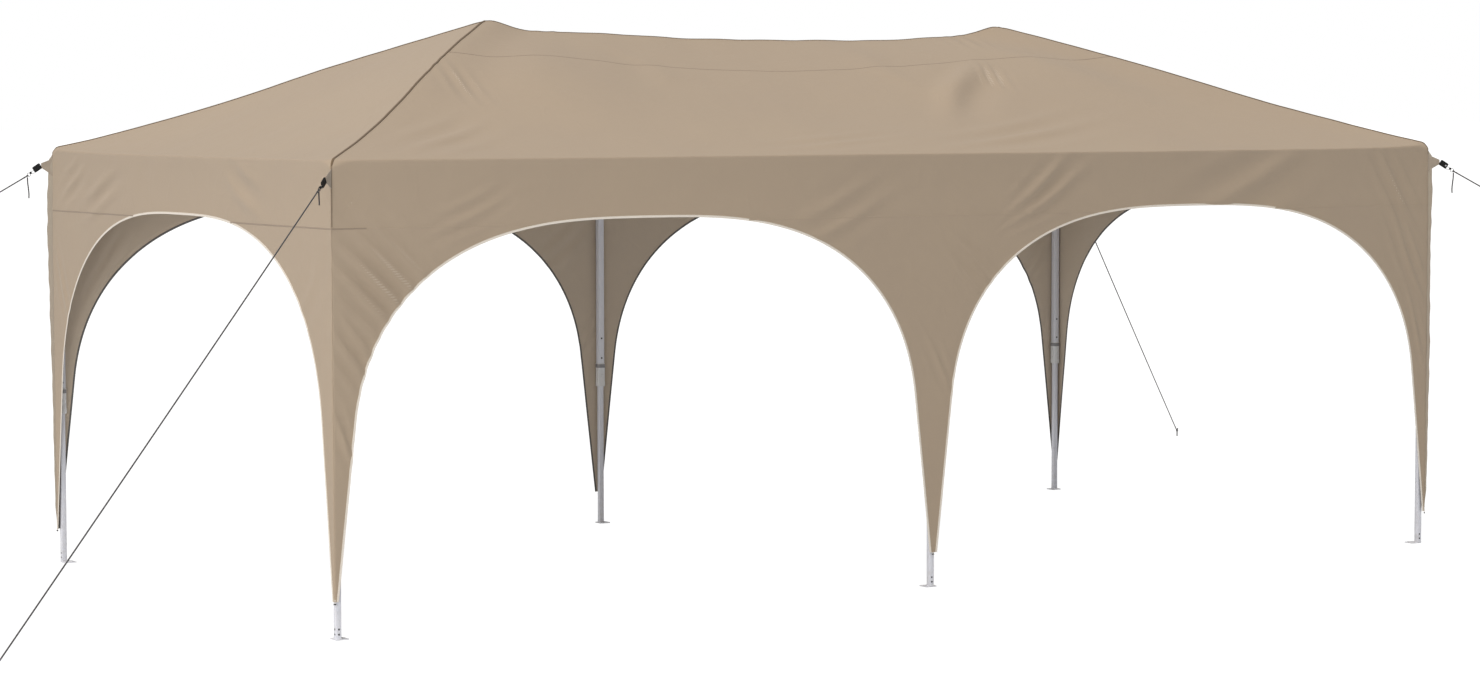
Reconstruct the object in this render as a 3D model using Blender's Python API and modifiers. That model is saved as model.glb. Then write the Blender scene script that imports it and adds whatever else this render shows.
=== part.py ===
"""Pop-up party tent on six telescopic legs, with a hipped canopy that rises to two peaks.

Metres, +Z up. The origin is on the ground under the middle of the tent. X runs along the
long walls, and the front wall faces -Y. The legs stand at the tallest of their settings.
"""

import math
from collections import namedtuple

import bmesh
import bpy
import numpy as np
from mathutils import Matrix, Vector

# Gap between pieces that touch, and how far pieces that are joined or cut run past each other
GAP = 0.0003
OVERLAP = 0.003
CUT_OVERRUN = 0.1
MERGE = 0.00001

# Canopy
HALF_LENGTH = 3.0
HALF_WIDTH = 1.51
FABRIC = 0.004
EAVE_Z = 1.965
CORNER_LIFT = 0.02
CORNER_LIFT_REACH = 0.25
PEAK_X = 1.475
PEAK_Z = 2.575
HIP_SAG = 0.010
RIDGE_DROP = 0.068
RIDGE_DROP_REACH = 0.27
RIDGE_DROP_POWER = 1.7
RIDGE_FALL = 0.007
SLOPE_ROWS = 8
STATION_STEP = 0.25

# Walls: a band under the eave, and skirts that taper down every leg between the arches
SEAM_Z = 1.685
CROWN_Z = 1.705
HALF_BAY = 1.5
SKIRT_TIP_Z = 0.16
SKIRT_TIP_WIDTH = 0.019
SKIRT_TAPER = 0.117
ARCH_SPRING_Z = 0.87
ARCH_RISE_POWER = 2.24
ARCH_SPREAD_POWER = 2.95
ARCH_SAMPLES = 400
TAPER_ROWS = 4
ARCH_ROWS = 19
ARCH_ROW_POWER = 1.6

# Legs
LEG_X = 2.975
LEG_Y = 1.485
OUTER_LEG_SIZE = 0.032
OUTER_LEG_BORE = 0.0282
OUTER_LEG_TOP_Z = 1.9547
LOCK_SIZE = 0.038
LOCK_BORE = 0.0258
LOCK_BOTTOM_Z = 0.715
LOCK_TOP_Z = 0.836
LOCK_LIP_TOP_Z = 0.80
INNER_LEG_SIZE = 0.025
INNER_LEG_BORE = 0.022
INNER_LEG_TOP_Z = 1.07
FOOT_SIZE = 0.060
FOOT_THICKNESS = 0.004

# Caps on the legs and sliders under them, with forks that take the truss ends
CAP_HALF = HALF_LENGTH - FABRIC - GAP - LEG_X
CAP_BOTTOM_Z = 1.885
CAP_SLOPE_ROOM = 0.0005
CAP_EDGE_RADIUS = 0.010
# How far the cap's rounded outer top edges reach inward and down
CAP_CORNER_ROUND = (0.020, 0.024)
CAP_MIDDLE_ROUND = (0.010, 0.010)
CAP_ROUND_STEPS = 5
SOCKET_SIZE = 0.0326
SLIDER_HALF = 0.0205
SLIDER_BOTTOM_Z = 1.722
SLIDER_TOP_Z = 1.768
FORK_REACH = 0.0567
FORK_HEIGHT = 0.034
FORK_THICKNESS = 0.003

# Scissor trusses
UPPER_PIVOT_Z = 1.910
LOWER_PIVOT_Z = 1.745
PIVOT_INSET = 0.045
BAR_HEIGHT = 0.025
BAR_THICKNESS = 0.010
BAR_END = 0.010
LAYER_GAP = 0.001
PIVOT_RADIUS = 0.004
LAYER_OFFSET = (BAR_THICKNESS + LAYER_GAP) / 2
TRUSS_HALF_THICKNESS = BAR_THICKNESS + LAYER_GAP / 2
FORK_HALF_GAP = TRUSS_HALF_THICKNESS + GAP

# Peak trusses
LOWER_HUB_Z = 1.985
UPPER_HUB_Z = 2.150
HUB_RADIUS = 0.030
HUB_HEIGHT = 0.034
POLE_RADIUS = 0.0125
POLE_BOTTOM_Z = 1.950
POLE_CAP_RADIUS = 0.035
POLE_CAP_TOP_RADIUS = 0.003
POLE_CAP_SLOPE = 0.56
POLE_CAP_ROOM = 0.0015
POLE_CAP_TOP_Z = PEAK_Z - FABRIC - POLE_CAP_ROOM
ROUND_SIDES = 12
CAP_SIDES = 16
BRACKET_WIDTH = 0.024
BRACKET_DEPTH = 0.020
BRACKET_HEIGHT = 0.030

# Guy lines: a cloth tab on each corner, a buckle, a taut rope to its peg, and its spare end
PEG_PLACES = {
    "front_left": (-5.5, -3.6),
    "front_right": (5.6, -3.6),
    "back_left": (-5.6, 3.6),
    "back_right": (5.6, 3.6),
}
PEG_RADIUS = 0.004
PEG_HEIGHT = 0.050
PEG_HOOK = 0.018
PEG_HOOK_RADIUS = 0.003
ROPE_RADIUS = 0.002
ROPE_PEG_Z = 0.034
ROPE_CORNER_Z = 1.916
TAB_LENGTH = 0.050
TAB_ROOT_LOW_Z = 1.845
TAB_ROOT_HIGH_Z = 1.921
TAB_END_HEIGHT = 0.020
TAB_THICKNESS = 0.003
BUCKLE_REACH = 0.045
BUCKLE = (0.036, 0.008, 0.026)
KNOT_REACH = 0.118
KNOT_LENGTH = 0.012
KNOT_RADIUS = 0.005
TAIL_LENGTHS = {"front_left": 0.055, "front_right": 0.1, "back_left": 0.1, "back_right": 0.1}
# The spare end's way down from its knot: lean outward and drop, as shares of its length
TAIL_ROUTE = ((0.0, 0.0), (0.0, 0.12), (-0.01, 0.3), (-0.04, 0.55), (-0.06, 0.8), (-0.055, 1.0))
TAIL_STEPS = 2

Leg = namedtuple("Leg", "name x y quarter_turns corner")

LEGS = (
    Leg("front_left", -LEG_X, -LEG_Y, 0, True),
    Leg("front_middle", 0.0, -LEG_Y, 0, False),
    Leg("front_right", LEG_X, -LEG_Y, 1, True),
    Leg("back_left", -LEG_X, LEG_Y, 3, True),
    Leg("back_middle", 0.0, LEG_Y, 2, False),
    Leg("back_right", LEG_X, LEG_Y, 2, True),
)


def clear_scene():
    """Removes every object that the scene starts with."""
    for thing in list(bpy.data.objects):
        bpy.data.objects.remove(thing)


def new_collection(name, hidden=False):
    """A collection under the scene's own."""
    collection = bpy.data.collections.new(name)
    collection.hide_render = hidden
    bpy.context.scene.collection.children.link(collection)
    return collection


def new_material(name, color, roughness, metallic=0.0):
    """A plain Principled finish."""
    material = bpy.data.materials.new(name)
    material.use_nodes = True
    shader = material.node_tree.nodes["Principled BSDF"]
    shader.inputs["Base Color"].default_value = (*color, 1.0)
    shader.inputs["Roughness"].default_value = roughness
    shader.inputs["Metallic"].default_value = metallic
    return material


def place(name, mesh, material, location=(0.0, 0.0, 0.0), quarter_turns=0):
    """Adds a named part to the tent, turned about Z by quarter turns."""
    if not mesh.materials:
        mesh.materials.append(material)
    part = bpy.data.objects.new(name, mesh)
    part.location = location
    part.rotation_euler.z = quarter_turns * math.pi / 2
    tent.objects.link(part)
    return part


def mesh_from(work, name):
    """Closes a bmesh into a mesh datablock with its normals outward."""
    bmesh.ops.recalc_face_normals(work, faces=work.faces)
    mesh = bpy.data.meshes.new(name)
    work.to_mesh(mesh)
    work.free()
    return mesh


def helper(work, name):
    """A piece that a Boolean joins or cuts, kept out of the tent."""
    piece = bpy.data.objects.new(name, mesh_from(work, name))
    piece.hide_render = True
    piece.display_type = "WIRE"
    helpers.objects.link(piece)
    return piece


def block(low, high):
    """A box between two opposite corners."""
    low, high = Vector(low), Vector(high)
    size = high - low
    work = bmesh.new()
    scale = Matrix.Diagonal((*size, 1.0))
    bmesh.ops.create_cube(work, size=1.0, matrix=Matrix.Translation((low + high) / 2) @ scale)
    return helper(work, "block")


def upright(half, bottom, top):
    """A square post centred on the Z axis."""
    return block((-half, -half, bottom), (half, half, top))


def along(start, end):
    """The frame at the middle of a line, with its X axis along it and its Y axis level."""
    start, end = Vector(start), Vector(end)
    forward = (end - start).normalized()
    side = Vector((0.0, 0.0, 1.0)).cross(forward).normalized()
    turn = Matrix((forward, side, forward.cross(side))).transposed().to_4x4()
    return Matrix.Translation((start + end) / 2) @ turn


def bar(start, end, thickness, height, overrun=0.0):
    """A flat bar on edge from start to end, which runs on past both by overrun."""
    length = (Vector(end) - Vector(start)).length + 2 * overrun
    work = bmesh.new()
    scale = Matrix.Diagonal((length, thickness, height, 1.0))
    bmesh.ops.create_cube(work, size=1.0, matrix=along(start, end) @ scale)
    return helper(work, "bar")


def rod(start, end, radius, end_radius=None, sides=8):
    """A round bar or cone from start to end."""
    start, end = Vector(start), Vector(end)
    turn = (end - start).to_track_quat("Z", "Y").to_matrix().to_4x4()
    work = bmesh.new()
    bmesh.ops.create_cone(
        work,
        cap_ends=True,
        segments=sides,
        radius1=radius,
        radius2=radius if end_radius is None else end_radius,
        depth=(end - start).length,
        matrix=Matrix.Translation((start + end) / 2) @ turn,
    )
    return helper(work, "rod")


def fused(name, pieces, cuts=()):
    """One closed mesh from pieces that overlap, less the cuts."""
    first, *others = pieces
    for operation, tools in (("UNION", others), ("DIFFERENCE", cuts)):
        for tool in tools:
            modifier = first.modifiers.new(operation, "BOOLEAN")
            modifier.operation = operation
            modifier.object = tool
            modifier.solver = "EXACT"
    bpy.context.view_layer.update()
    graph = bpy.context.evaluated_depsgraph_get()
    mesh = bpy.data.meshes.new_from_object(first.evaluated_get(graph))
    mesh.name = name
    for piece in (*pieces, *cuts):
        bpy.data.objects.remove(piece)
    return mesh


def surface(us, vs, point):
    """An open grid of cloth: its corners are point(u, v) over the stations us and vs."""
    columns, rows = len(us) - 1, len(vs) - 1
    work = bmesh.new()
    bmesh.ops.create_grid(work, x_segments=columns, y_segments=rows, size=1.0)
    for vertex in work.verts:
        column = round((vertex.co.x + 1) / 2 * columns)
        row = round((vertex.co.y + 1) / 2 * rows)
        vertex.co = point(us[column], vs[row])
    bmesh.ops.remove_doubles(work, verts=work.verts, dist=MERGE)
    return work


def dropped(name, work):
    """Cloth whose lower face lies straight under the upper one, so that hips meet in a mitre."""
    lower = bmesh.ops.extrude_face_region(work, geom=work.faces[:])["geom"]
    moved = [item for item in lower if isinstance(item, bmesh.types.BMVert)]
    bmesh.ops.translate(work, verts=moved, vec=(0.0, 0.0, -FABRIC))
    return mesh_from(work, name)


def walled(name, work, material, location=(0.0, 0.0, 0.0), quarter_turns=0):
    """Upright cloth, thickened inwards by a Solidify modifier."""
    mesh = bpy.data.meshes.new(name)
    work.to_mesh(mesh)
    work.free()
    part = place(name, mesh, material, location, quarter_turns)
    solidify = part.modifiers.new("Cloth thickness", "SOLIDIFY")
    solidify.thickness = FABRIC
    solidify.offset = -1.0
    solidify.use_even_offset = True
    return part


def skirt_width(z):
    """How far a skirt reaches from its leg line: a straight taper, then the arch's quarter."""
    taper = SKIRT_TIP_WIDTH + SKIRT_TAPER * (z - SKIRT_TIP_Z)
    spread = HALF_BAY - SKIRT_TIP_WIDTH - SKIRT_TAPER * (CROWN_Z - SKIRT_TIP_Z)
    rise = np.clip((z - ARCH_SPRING_Z) / (CROWN_Z - ARCH_SPRING_Z), 0.0, 1.0)
    quarter = 1 - (1 - rise**ARCH_RISE_POWER) ** (1 / ARCH_SPREAD_POWER)
    return taper + spread * quarter


ARCH_HEIGHTS = np.linspace(SEAM_Z - OVERLAP, CROWN_Z, ARCH_SAMPLES)
ARCH_WIDTHS = skirt_width(ARCH_HEIGHTS)
SEAM_WIDTH = float(skirt_width(SEAM_Z))


def stations(half, corners_and_legs):
    """Places along a wall: even steps, and where the arches cross the seam."""
    steps = round(2 * half / STATION_STEP)
    crossings = [leg + side * SEAM_WIDTH for leg in corners_and_legs for side in (-1, 1)]
    inside = [crossing for crossing in crossings if abs(crossing) < half]
    return sorted([*np.linspace(-half, half, steps + 1), *inside])


LONG_STATIONS = stations(HALF_LENGTH, (-HALF_LENGTH, 0.0, HALF_LENGTH))
END_STATIONS = stations(HALF_WIDTH, (-HALF_WIDTH, HALF_WIDTH))


def band_bottom(distance):
    """The lower edge of the band at a distance from the nearest leg line."""
    return max(SEAM_Z, float(np.interp(distance, ARCH_WIDTHS, ARCH_HEIGHTS)))


def eave_height(from_corner):
    """The eave is level, and lifts over the corner legs."""
    return EAVE_Z + CORNER_LIFT * math.exp(-from_corner / CORNER_LIFT_REACH)


def hip_height(share):
    """The hip from corner, 0, to peak, 1: a line with a slight dip below and fullness above."""
    straight = EAVE_Z + CORNER_LIFT + share * (PEAK_Z - EAVE_Z - CORNER_LIFT)
    return straight - HIP_SAG * math.sin(2 * math.pi * share)


def ridge_height(x):
    """The ridge falls off steeply beside each peak and then runs nearly level."""
    away = PEAK_X - abs(x)
    near_peak = 1 - math.exp(-((away / RIDGE_DROP_REACH) ** RIDGE_DROP_POWER))
    return PEAK_Z - RIDGE_DROP * near_peak - RIDGE_FALL * away


def long_slope(u, v):
    """The front slope: u runs from end to end, v from eave, 0, to ridge, 1."""
    half = HALF_LENGTH + v * (PEAK_X - HALF_LENGTH)
    at_eave = eave_height(HALF_LENGTH * (1 - abs(u)))
    at_ridge = ridge_height(PEAK_X * u)
    at_corner, at_peak = eave_height(0.0), PEAK_Z
    level = (1 - v) * (at_eave - at_corner) + v * (at_ridge - at_peak) + hip_height(v)
    return Vector((u * (half - GAP), -HALF_WIDTH * (1 - v) - v * GAP / 2, level))


def end_slope(u, v):
    """The left end slope: u runs from back to front, v from eave, 0, to peak, 1."""
    half = HALF_WIDTH * (1 - v)
    at_eave = eave_height(HALF_WIDTH * (1 - abs(u)))
    level = (1 - v) * (at_eave - eave_height(0.0)) + hip_height(v)
    x = -HALF_LENGTH - v * (PEAK_X - HALF_LENGTH) - v * GAP
    return Vector((x, -u * max(half - GAP, 0.0), level))


def make_roof():
    """Four slopes, which meet at the hips and the ridge."""
    rows = np.linspace(0.0, 1.0, SLOPE_ROWS + 1)
    columns = [x / HALF_LENGTH for x in LONG_STATIONS]
    long_mesh = dropped("long_slope", surface(columns, rows, long_slope))
    columns = [y / HALF_WIDTH for y in END_STATIONS]
    end_mesh = dropped("end_slope", surface(columns, rows, end_slope))
    place("roof_front", long_mesh, canvas)
    place("roof_back", long_mesh, canvas, quarter_turns=2)
    place("roof_left_end", end_mesh, canvas)
    place("roof_right_end", end_mesh, canvas, quarter_turns=2)


def make_bands():
    """The upright bands under the eaves, notched by the crowns of the arches."""

    def front(x, v):
        to_leg = min(abs(x), HALF_LENGTH - abs(x))
        low = band_bottom(to_leg)
        high = eave_height(HALF_LENGTH - abs(x)) - FABRIC - GAP
        return Vector((x, -HALF_WIDTH, low + v * (high - low)))

    def left(y, v):
        to_leg = HALF_WIDTH - abs(y)
        low = band_bottom(to_leg)
        high = eave_height(to_leg) - FABRIC - GAP
        inside = min(abs(y), HALF_WIDTH - FABRIC - GAP)
        return Vector((-HALF_LENGTH, -math.copysign(inside, y), low + v * (high - low)))

    for name, turns in (("band_front", 0), ("band_back", 2)):
        walled(name, surface(LONG_STATIONS, (0.0, 1.0), front), canvas, quarter_turns=turns)
    for name, turns in (("band_left_end", 0), ("band_right_end", 2)):
        walled(name, surface(END_STATIONS, (0.0, 1.0), left), canvas, quarter_turns=turns)


def skirt_heights():
    """Rows up a skirt, closer together where the arch turns flat."""
    taper = np.linspace(SKIRT_TIP_Z, ARCH_SPRING_Z, TAPER_ROWS, endpoint=False)
    share = 1 - (1 - np.linspace(0.0, 1.0, ARCH_ROWS)) ** ARCH_ROW_POWER
    arch = ARCH_SPRING_Z + (SEAM_Z - GAP - ARCH_SPRING_Z) * share
    return [*taper, *arch]


def make_skirts():
    """A skirt down every leg: two wings at a corner, one flat panel at a middle leg."""

    def corner(u, z):
        width = float(skirt_width(z))
        return Vector((width * max(u, 0.0), width * max(-u, 0.0), z))

    def middle(u, z):
        return Vector((u * float(skirt_width(z)), 0.0, z))

    for leg in LEGS:
        wings = surface((-1, 0, 1), skirt_heights(), corner if leg.corner else middle)
        location = (math.copysign(HALF_LENGTH, leg.x), math.copysign(HALF_WIDTH, leg.y), 0.0)
        if not leg.corner:
            location = (0.0, location[1], 0.0)
        walled(f"skirt_{leg.name}", wings, canvas, location, leg.quarter_turns)


def fork(direction, pivot_z):
    """Two upright plates that take a truss end, on the side of a leg that direction names."""
    x, y = direction
    plates = []
    for side in (-1, 1):
        inner = side * FORK_HALF_GAP
        outer = side * (FORK_HALF_GAP + FORK_THICKNESS)
        near = CAP_HALF - OVERLAP
        corners = []
        for reach, across, up in ((near, inner, -1), (FORK_REACH, outer, 1)):
            z = pivot_z + up * FORK_HEIGHT / 2
            corners.append((x * reach - y * across, y * reach + x * across, z))
        low = [min(pair) for pair in zip(*corners)]
        high = [max(pair) for pair in zip(*corners)]
        plates.append(block(low, high))
    return plates


def truss_directions(corner):
    """Where trusses leave a leg, with the outer walls of a corner at -X and -Y."""
    return ((1, 0), (0, 1)) if corner else ((1, 0), (-1, 0), (0, 1))


def outer_leg_mesh():
    """A square tube with the lock housing round its lower end."""
    tube = upright(OUTER_LEG_SIZE / 2, LOCK_LIP_TOP_Z, OUTER_LEG_TOP_Z)
    housing = upright(LOCK_SIZE / 2, LOCK_BOTTOM_Z, LOCK_TOP_Z)
    bore = upright(OUTER_LEG_BORE / 2, LOCK_LIP_TOP_Z, OUTER_LEG_TOP_Z + CUT_OVERRUN)
    lip = upright(LOCK_BORE / 2, LOCK_BOTTOM_Z - CUT_OVERRUN, LOCK_LIP_TOP_Z + OVERLAP)
    return fused("outer_leg", [tube, housing], [bore, lip])


def inner_leg_mesh(corner):
    """A square tube on a flat foot that reaches in under the tent."""
    half = INNER_LEG_SIZE / 2
    tube = upright(half, FOOT_THICKNESS / 2, INNER_LEG_TOP_Z)
    low_x = -half if corner else -FOOT_SIZE / 2
    foot = block((low_x, -half, 0.0), (low_x + FOOT_SIZE, -half + FOOT_SIZE, FOOT_THICKNESS))
    bore = upright(INNER_LEG_BORE / 2, 2 * FOOT_THICKNESS, INNER_LEG_TOP_Z + CUT_OVERRUN)
    return fused("inner_leg", [tube, foot], [bore])


def cap_block(corner, top):
    """A post rounded where the cloth bends over it: along the eaves, and up a corner's edge."""
    across, down = CAP_CORNER_ROUND if corner else CAP_MIDDLE_ROUND
    radius = CAP_EDGE_RADIUS if corner else 0.0
    turns = np.linspace(0.0, math.pi / 2, CAP_ROUND_STEPS + 1)
    rings = [(CAP_BOTTOM_Z, 0.0)]
    rings += [(top - down * (1 - math.sin(a)), across * (1 - math.cos(a))) for a in turns]
    work = bmesh.new()
    for z, inset in rings:
        front = inset - CAP_HALF
        left = front if corner else -CAP_HALF
        outline = [(CAP_HALF, front), (CAP_HALF, CAP_HALF), (left, CAP_HALF)]
        outline += [
            (left + radius * (1 - math.sin(a)), front + radius * (1 - math.cos(a))) for a in turns
        ]
        for x, y in outline:
            work.verts.new((x, y, z))
    bmesh.ops.remove_doubles(work, verts=work.verts, dist=MERGE)
    bmesh.ops.convex_hull(work, input=work.verts)
    unused = [vertex for vertex in work.verts if not vertex.link_faces]
    bmesh.ops.delete(work, geom=unused, context="VERTS")
    return helper(work, "cap")


def leg_cap_mesh(corner):
    """A cap over the leg's top, which carries the cloth and the upper truss ends."""
    top = EAVE_Z - FABRIC - GAP + (CORNER_LIFT - CAP_SLOPE_ROOM if corner else 0.0)
    pieces = [cap_block(corner, top)]
    for direction in truss_directions(corner):
        pieces += fork(direction, UPPER_PIVOT_Z)
    socket = upright(SOCKET_SIZE / 2, CAP_BOTTOM_Z - CUT_OVERRUN, OUTER_LEG_TOP_Z + GAP)
    return fused("leg_cap", pieces, [socket])


def slider_mesh(corner):
    """A sleeve on the leg, which carries the lower truss ends."""
    pieces = [upright(SLIDER_HALF, SLIDER_BOTTOM_Z, SLIDER_TOP_Z)]
    for direction in truss_directions(corner):
        pieces += fork(direction, LOWER_PIVOT_Z)
    low, high = SLIDER_BOTTOM_Z - CUT_OVERRUN, SLIDER_TOP_Z + CUT_OVERRUN
    sleeve = upright(SOCKET_SIZE / 2, low, high)
    return fused("slider", pieces, [sleeve])


def make_legs():
    """Six legs, each with its inner leg, cap and truss slider."""
    outer = outer_leg_mesh()
    shapes = {
        corner: (inner_leg_mesh(corner), leg_cap_mesh(corner), slider_mesh(corner))
        for corner in (True, False)
    }
    for leg in LEGS:
        inner, cap, slider = shapes[leg.corner]
        where = (leg.x, leg.y, 0.0)
        place(f"outer_leg_{leg.name}", outer, white_steel, where, leg.quarter_turns)
        place(f"inner_leg_{leg.name}", inner, white_steel, where, leg.quarter_turns)
        place(f"leg_cap_{leg.name}", cap, pale_plastic, where, leg.quarter_turns)
        place(f"slider_{leg.name}", slider, pale_plastic, where, leg.quarter_turns)


def truss_mesh(span):
    """Two scissor pairs in a row between legs, along X, with the middle at the origin."""
    far = span / 2 - PIVOT_INSET
    pieces = []
    for side in (-1, 1):
        falling = side * LAYER_OFFSET
        upper_end = (side * far, falling, UPPER_PIVOT_Z)
        lower_middle = (0.0, falling, LOWER_PIVOT_Z)
        lower_end = (side * far, -falling, LOWER_PIVOT_Z)
        upper_middle = (0.0, -falling, UPPER_PIVOT_Z)
        pieces.append(bar(upper_end, lower_middle, BAR_THICKNESS, BAR_HEIGHT, BAR_END))
        pieces.append(bar(lower_end, upper_middle, BAR_THICKNESS, BAR_HEIGHT, BAR_END))
    crossing_z = (UPPER_PIVOT_Z + LOWER_PIVOT_Z) / 2
    crossings = [(x, crossing_z) for x in (-far / 2, far / 2)]
    for x, z in (*crossings, (0.0, LOWER_PIVOT_Z), (0.0, UPPER_PIVOT_Z)):
        pieces.append(rod((x, -LAYER_OFFSET, z), (x, LAYER_OFFSET, z), PIVOT_RADIUS))
    return fused("truss", pieces)


def make_trusses():
    """Six trusses round the eaves and one across the middle."""
    long_mesh = truss_mesh(LEG_X)
    cross_mesh = truss_mesh(2 * LEG_Y)
    for wall, y in (("front", -LEG_Y), ("back", LEG_Y)):
        for side, x in (("left", -LEG_X / 2), ("right", LEG_X / 2)):
            place(f"truss_{wall}_{side}", long_mesh, white_steel, (x, y, 0.0))
    for name, x in (("left_end", -LEG_X), ("middle", 0.0), ("right_end", LEG_X)):
        place(f"truss_{name}", cross_mesh, white_steel, (x, 0.0, 0.0), 1)


def peak_arm(direction, reach):
    """Two crossed bars from a side truss, at distance reach, up to the hubs of the peak pole."""
    x, y = direction
    side_x, side_y = -y, x
    pieces = []
    for layer, side_z, hub_z in (
        (LAYER_OFFSET, UPPER_PIVOT_Z, LOWER_HUB_Z),
        (-LAYER_OFFSET, LOWER_PIVOT_Z, UPPER_HUB_Z),
    ):
        far = reach - BRACKET_DEPTH / 2
        near = HUB_RADIUS / 2
        outer = (x * far + side_x * layer, y * far + side_y * layer, side_z)
        inner = (x * near + side_x * layer, y * near + side_y * layer, hub_z)
        pieces.append(bar(outer, inner, BAR_THICKNESS, BAR_HEIGHT))
        half = BRACKET_WIDTH / 2
        ends = [
            (x * along_arm + side_x * across, y * along_arm + side_y * across)
            for along_arm, across in ((reach - BRACKET_DEPTH, -half), (reach, half))
        ]
        low = [min(pair) for pair in zip(*ends)]
        high = [max(pair) for pair in zip(*ends)]
        z = BRACKET_HEIGHT / 2
        pieces.append(block((*low, side_z - z), (*high, side_z + z)))
    middle = (far + near) / 2
    crossing = (x * middle, y * middle)
    z = (UPPER_PIVOT_Z + LOWER_HUB_Z) / 2
    ends = [
        (crossing[0] + side_x * layer, crossing[1] + side_y * layer, z)
        for layer in (-LAYER_OFFSET, LAYER_OFFSET)
    ]
    pieces.append(rod(*ends, PIVOT_RADIUS))
    return pieces


def peak_truss_mesh():
    """The pole under the left peak, its two hubs and the four arms that carry it."""
    cap_bottom = POLE_CAP_TOP_Z - POLE_CAP_SLOPE * (POLE_CAP_RADIUS - POLE_CAP_TOP_RADIUS)
    pieces = [
        rod((0, 0, POLE_BOTTOM_Z), (0, 0, cap_bottom + OVERLAP), POLE_RADIUS, sides=ROUND_SIDES),
        rod(
            (0, 0, cap_bottom),
            (0, 0, POLE_CAP_TOP_Z),
            POLE_CAP_RADIUS,
            POLE_CAP_TOP_RADIUS,
            sides=CAP_SIDES,
        ),
    ]
    for z in (LOWER_HUB_Z, UPPER_HUB_Z):
        low, high = z - HUB_HEIGHT / 2, z + HUB_HEIGHT / 2
        pieces.append(rod((0, 0, low), (0, 0, high), HUB_RADIUS, sides=ROUND_SIDES))
    face = TRUSS_HALF_THICKNESS + GAP
    pieces += peak_arm((1, 0), PEAK_X - face)
    pieces += peak_arm((-1, 0), LEG_X - PEAK_X - face)
    pieces += peak_arm((0, 1), LEG_Y - face)
    pieces += peak_arm((0, -1), LEG_Y - face)
    return fused("peak_truss", pieces)


def make_peak_trusses():
    """One peak truss in each bay."""
    mesh = peak_truss_mesh()
    place("peak_truss_left", mesh, white_steel, (-PEAK_X, 0.0, 0.0))
    place("peak_truss_right", mesh, white_steel, (PEAK_X, 0.0, 0.0), 2)


def tab(outward, fall):
    """The cloth tab on a corner: an upright plate, tall at the wall and narrow at the buckle."""
    root = (TAB_ROOT_HIGH_Z + TAB_ROOT_LOW_Z) / 2, TAB_ROOT_HIGH_Z - TAB_ROOT_LOW_Z
    end = ROPE_CORNER_Z - fall * TAB_LENGTH, TAB_END_HEIGHT
    work = bmesh.new()
    bmesh.ops.create_cube(work, size=1.0)
    side = Vector((-outward.y, outward.x, 0.0))
    for vertex in work.verts:
        reach, (centre, height) = (GAP, root) if vertex.co.x < 0 else (TAB_LENGTH, end)
        across = side * vertex.co.y * TAB_THICKNESS
        vertex.co = outward * reach + across + Vector((0, 0, centre + vertex.co.z * height))
    return helper(work, "tab")


def smooth_route(points, steps):
    """Points along a Catmull-Rom curve through the given ones."""
    padded = [2 * points[0] - points[1], *points, 2 * points[-1] - points[-2]]
    route = []
    for a, b, c, d in zip(padded, padded[1:], padded[2:], padded[3:]):
        for step in range(steps):
            t = step / steps
            bend = 2 * b + (c - a) * t + (2 * a - 5 * b + 4 * c - d) * t**2
            route.append((bend + (3 * b - a - 3 * c + d) * t**3) / 2)
    return [*route, points[-1]]


def make_tail(leg, corner, outward, knot, fall):
    """The rope's spare end, which hangs from its knot."""
    steepness = math.hypot(1.0, fall)
    exit_drop = KNOT_RADIUS * steepness + ROPE_RADIUS * fall + GAP
    length = TAIL_LENGTHS[leg.name]
    exit_point = knot - Vector((0, 0, exit_drop))
    points = [exit_point + outward * lean * length - Vector((0, 0, drop * length))
              for lean, drop in TAIL_ROUTE]
    route = smooth_route(points, TAIL_STEPS)
    curve = bpy.data.curves.new(f"rope_tail_{leg.name}", "CURVE")
    curve.dimensions = "3D"
    curve.bevel_depth = ROPE_RADIUS
    curve.bevel_resolution = 2
    curve.use_fill_caps = True
    spline = curve.splines.new("POLY")
    spline.points.add(len(route) - 1)
    for point, spot in zip(spline.points, route):
        point.co = (*spot, 1.0)
    place(f"rope_tail_{leg.name}", curve, cord_fibre, corner)


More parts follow.
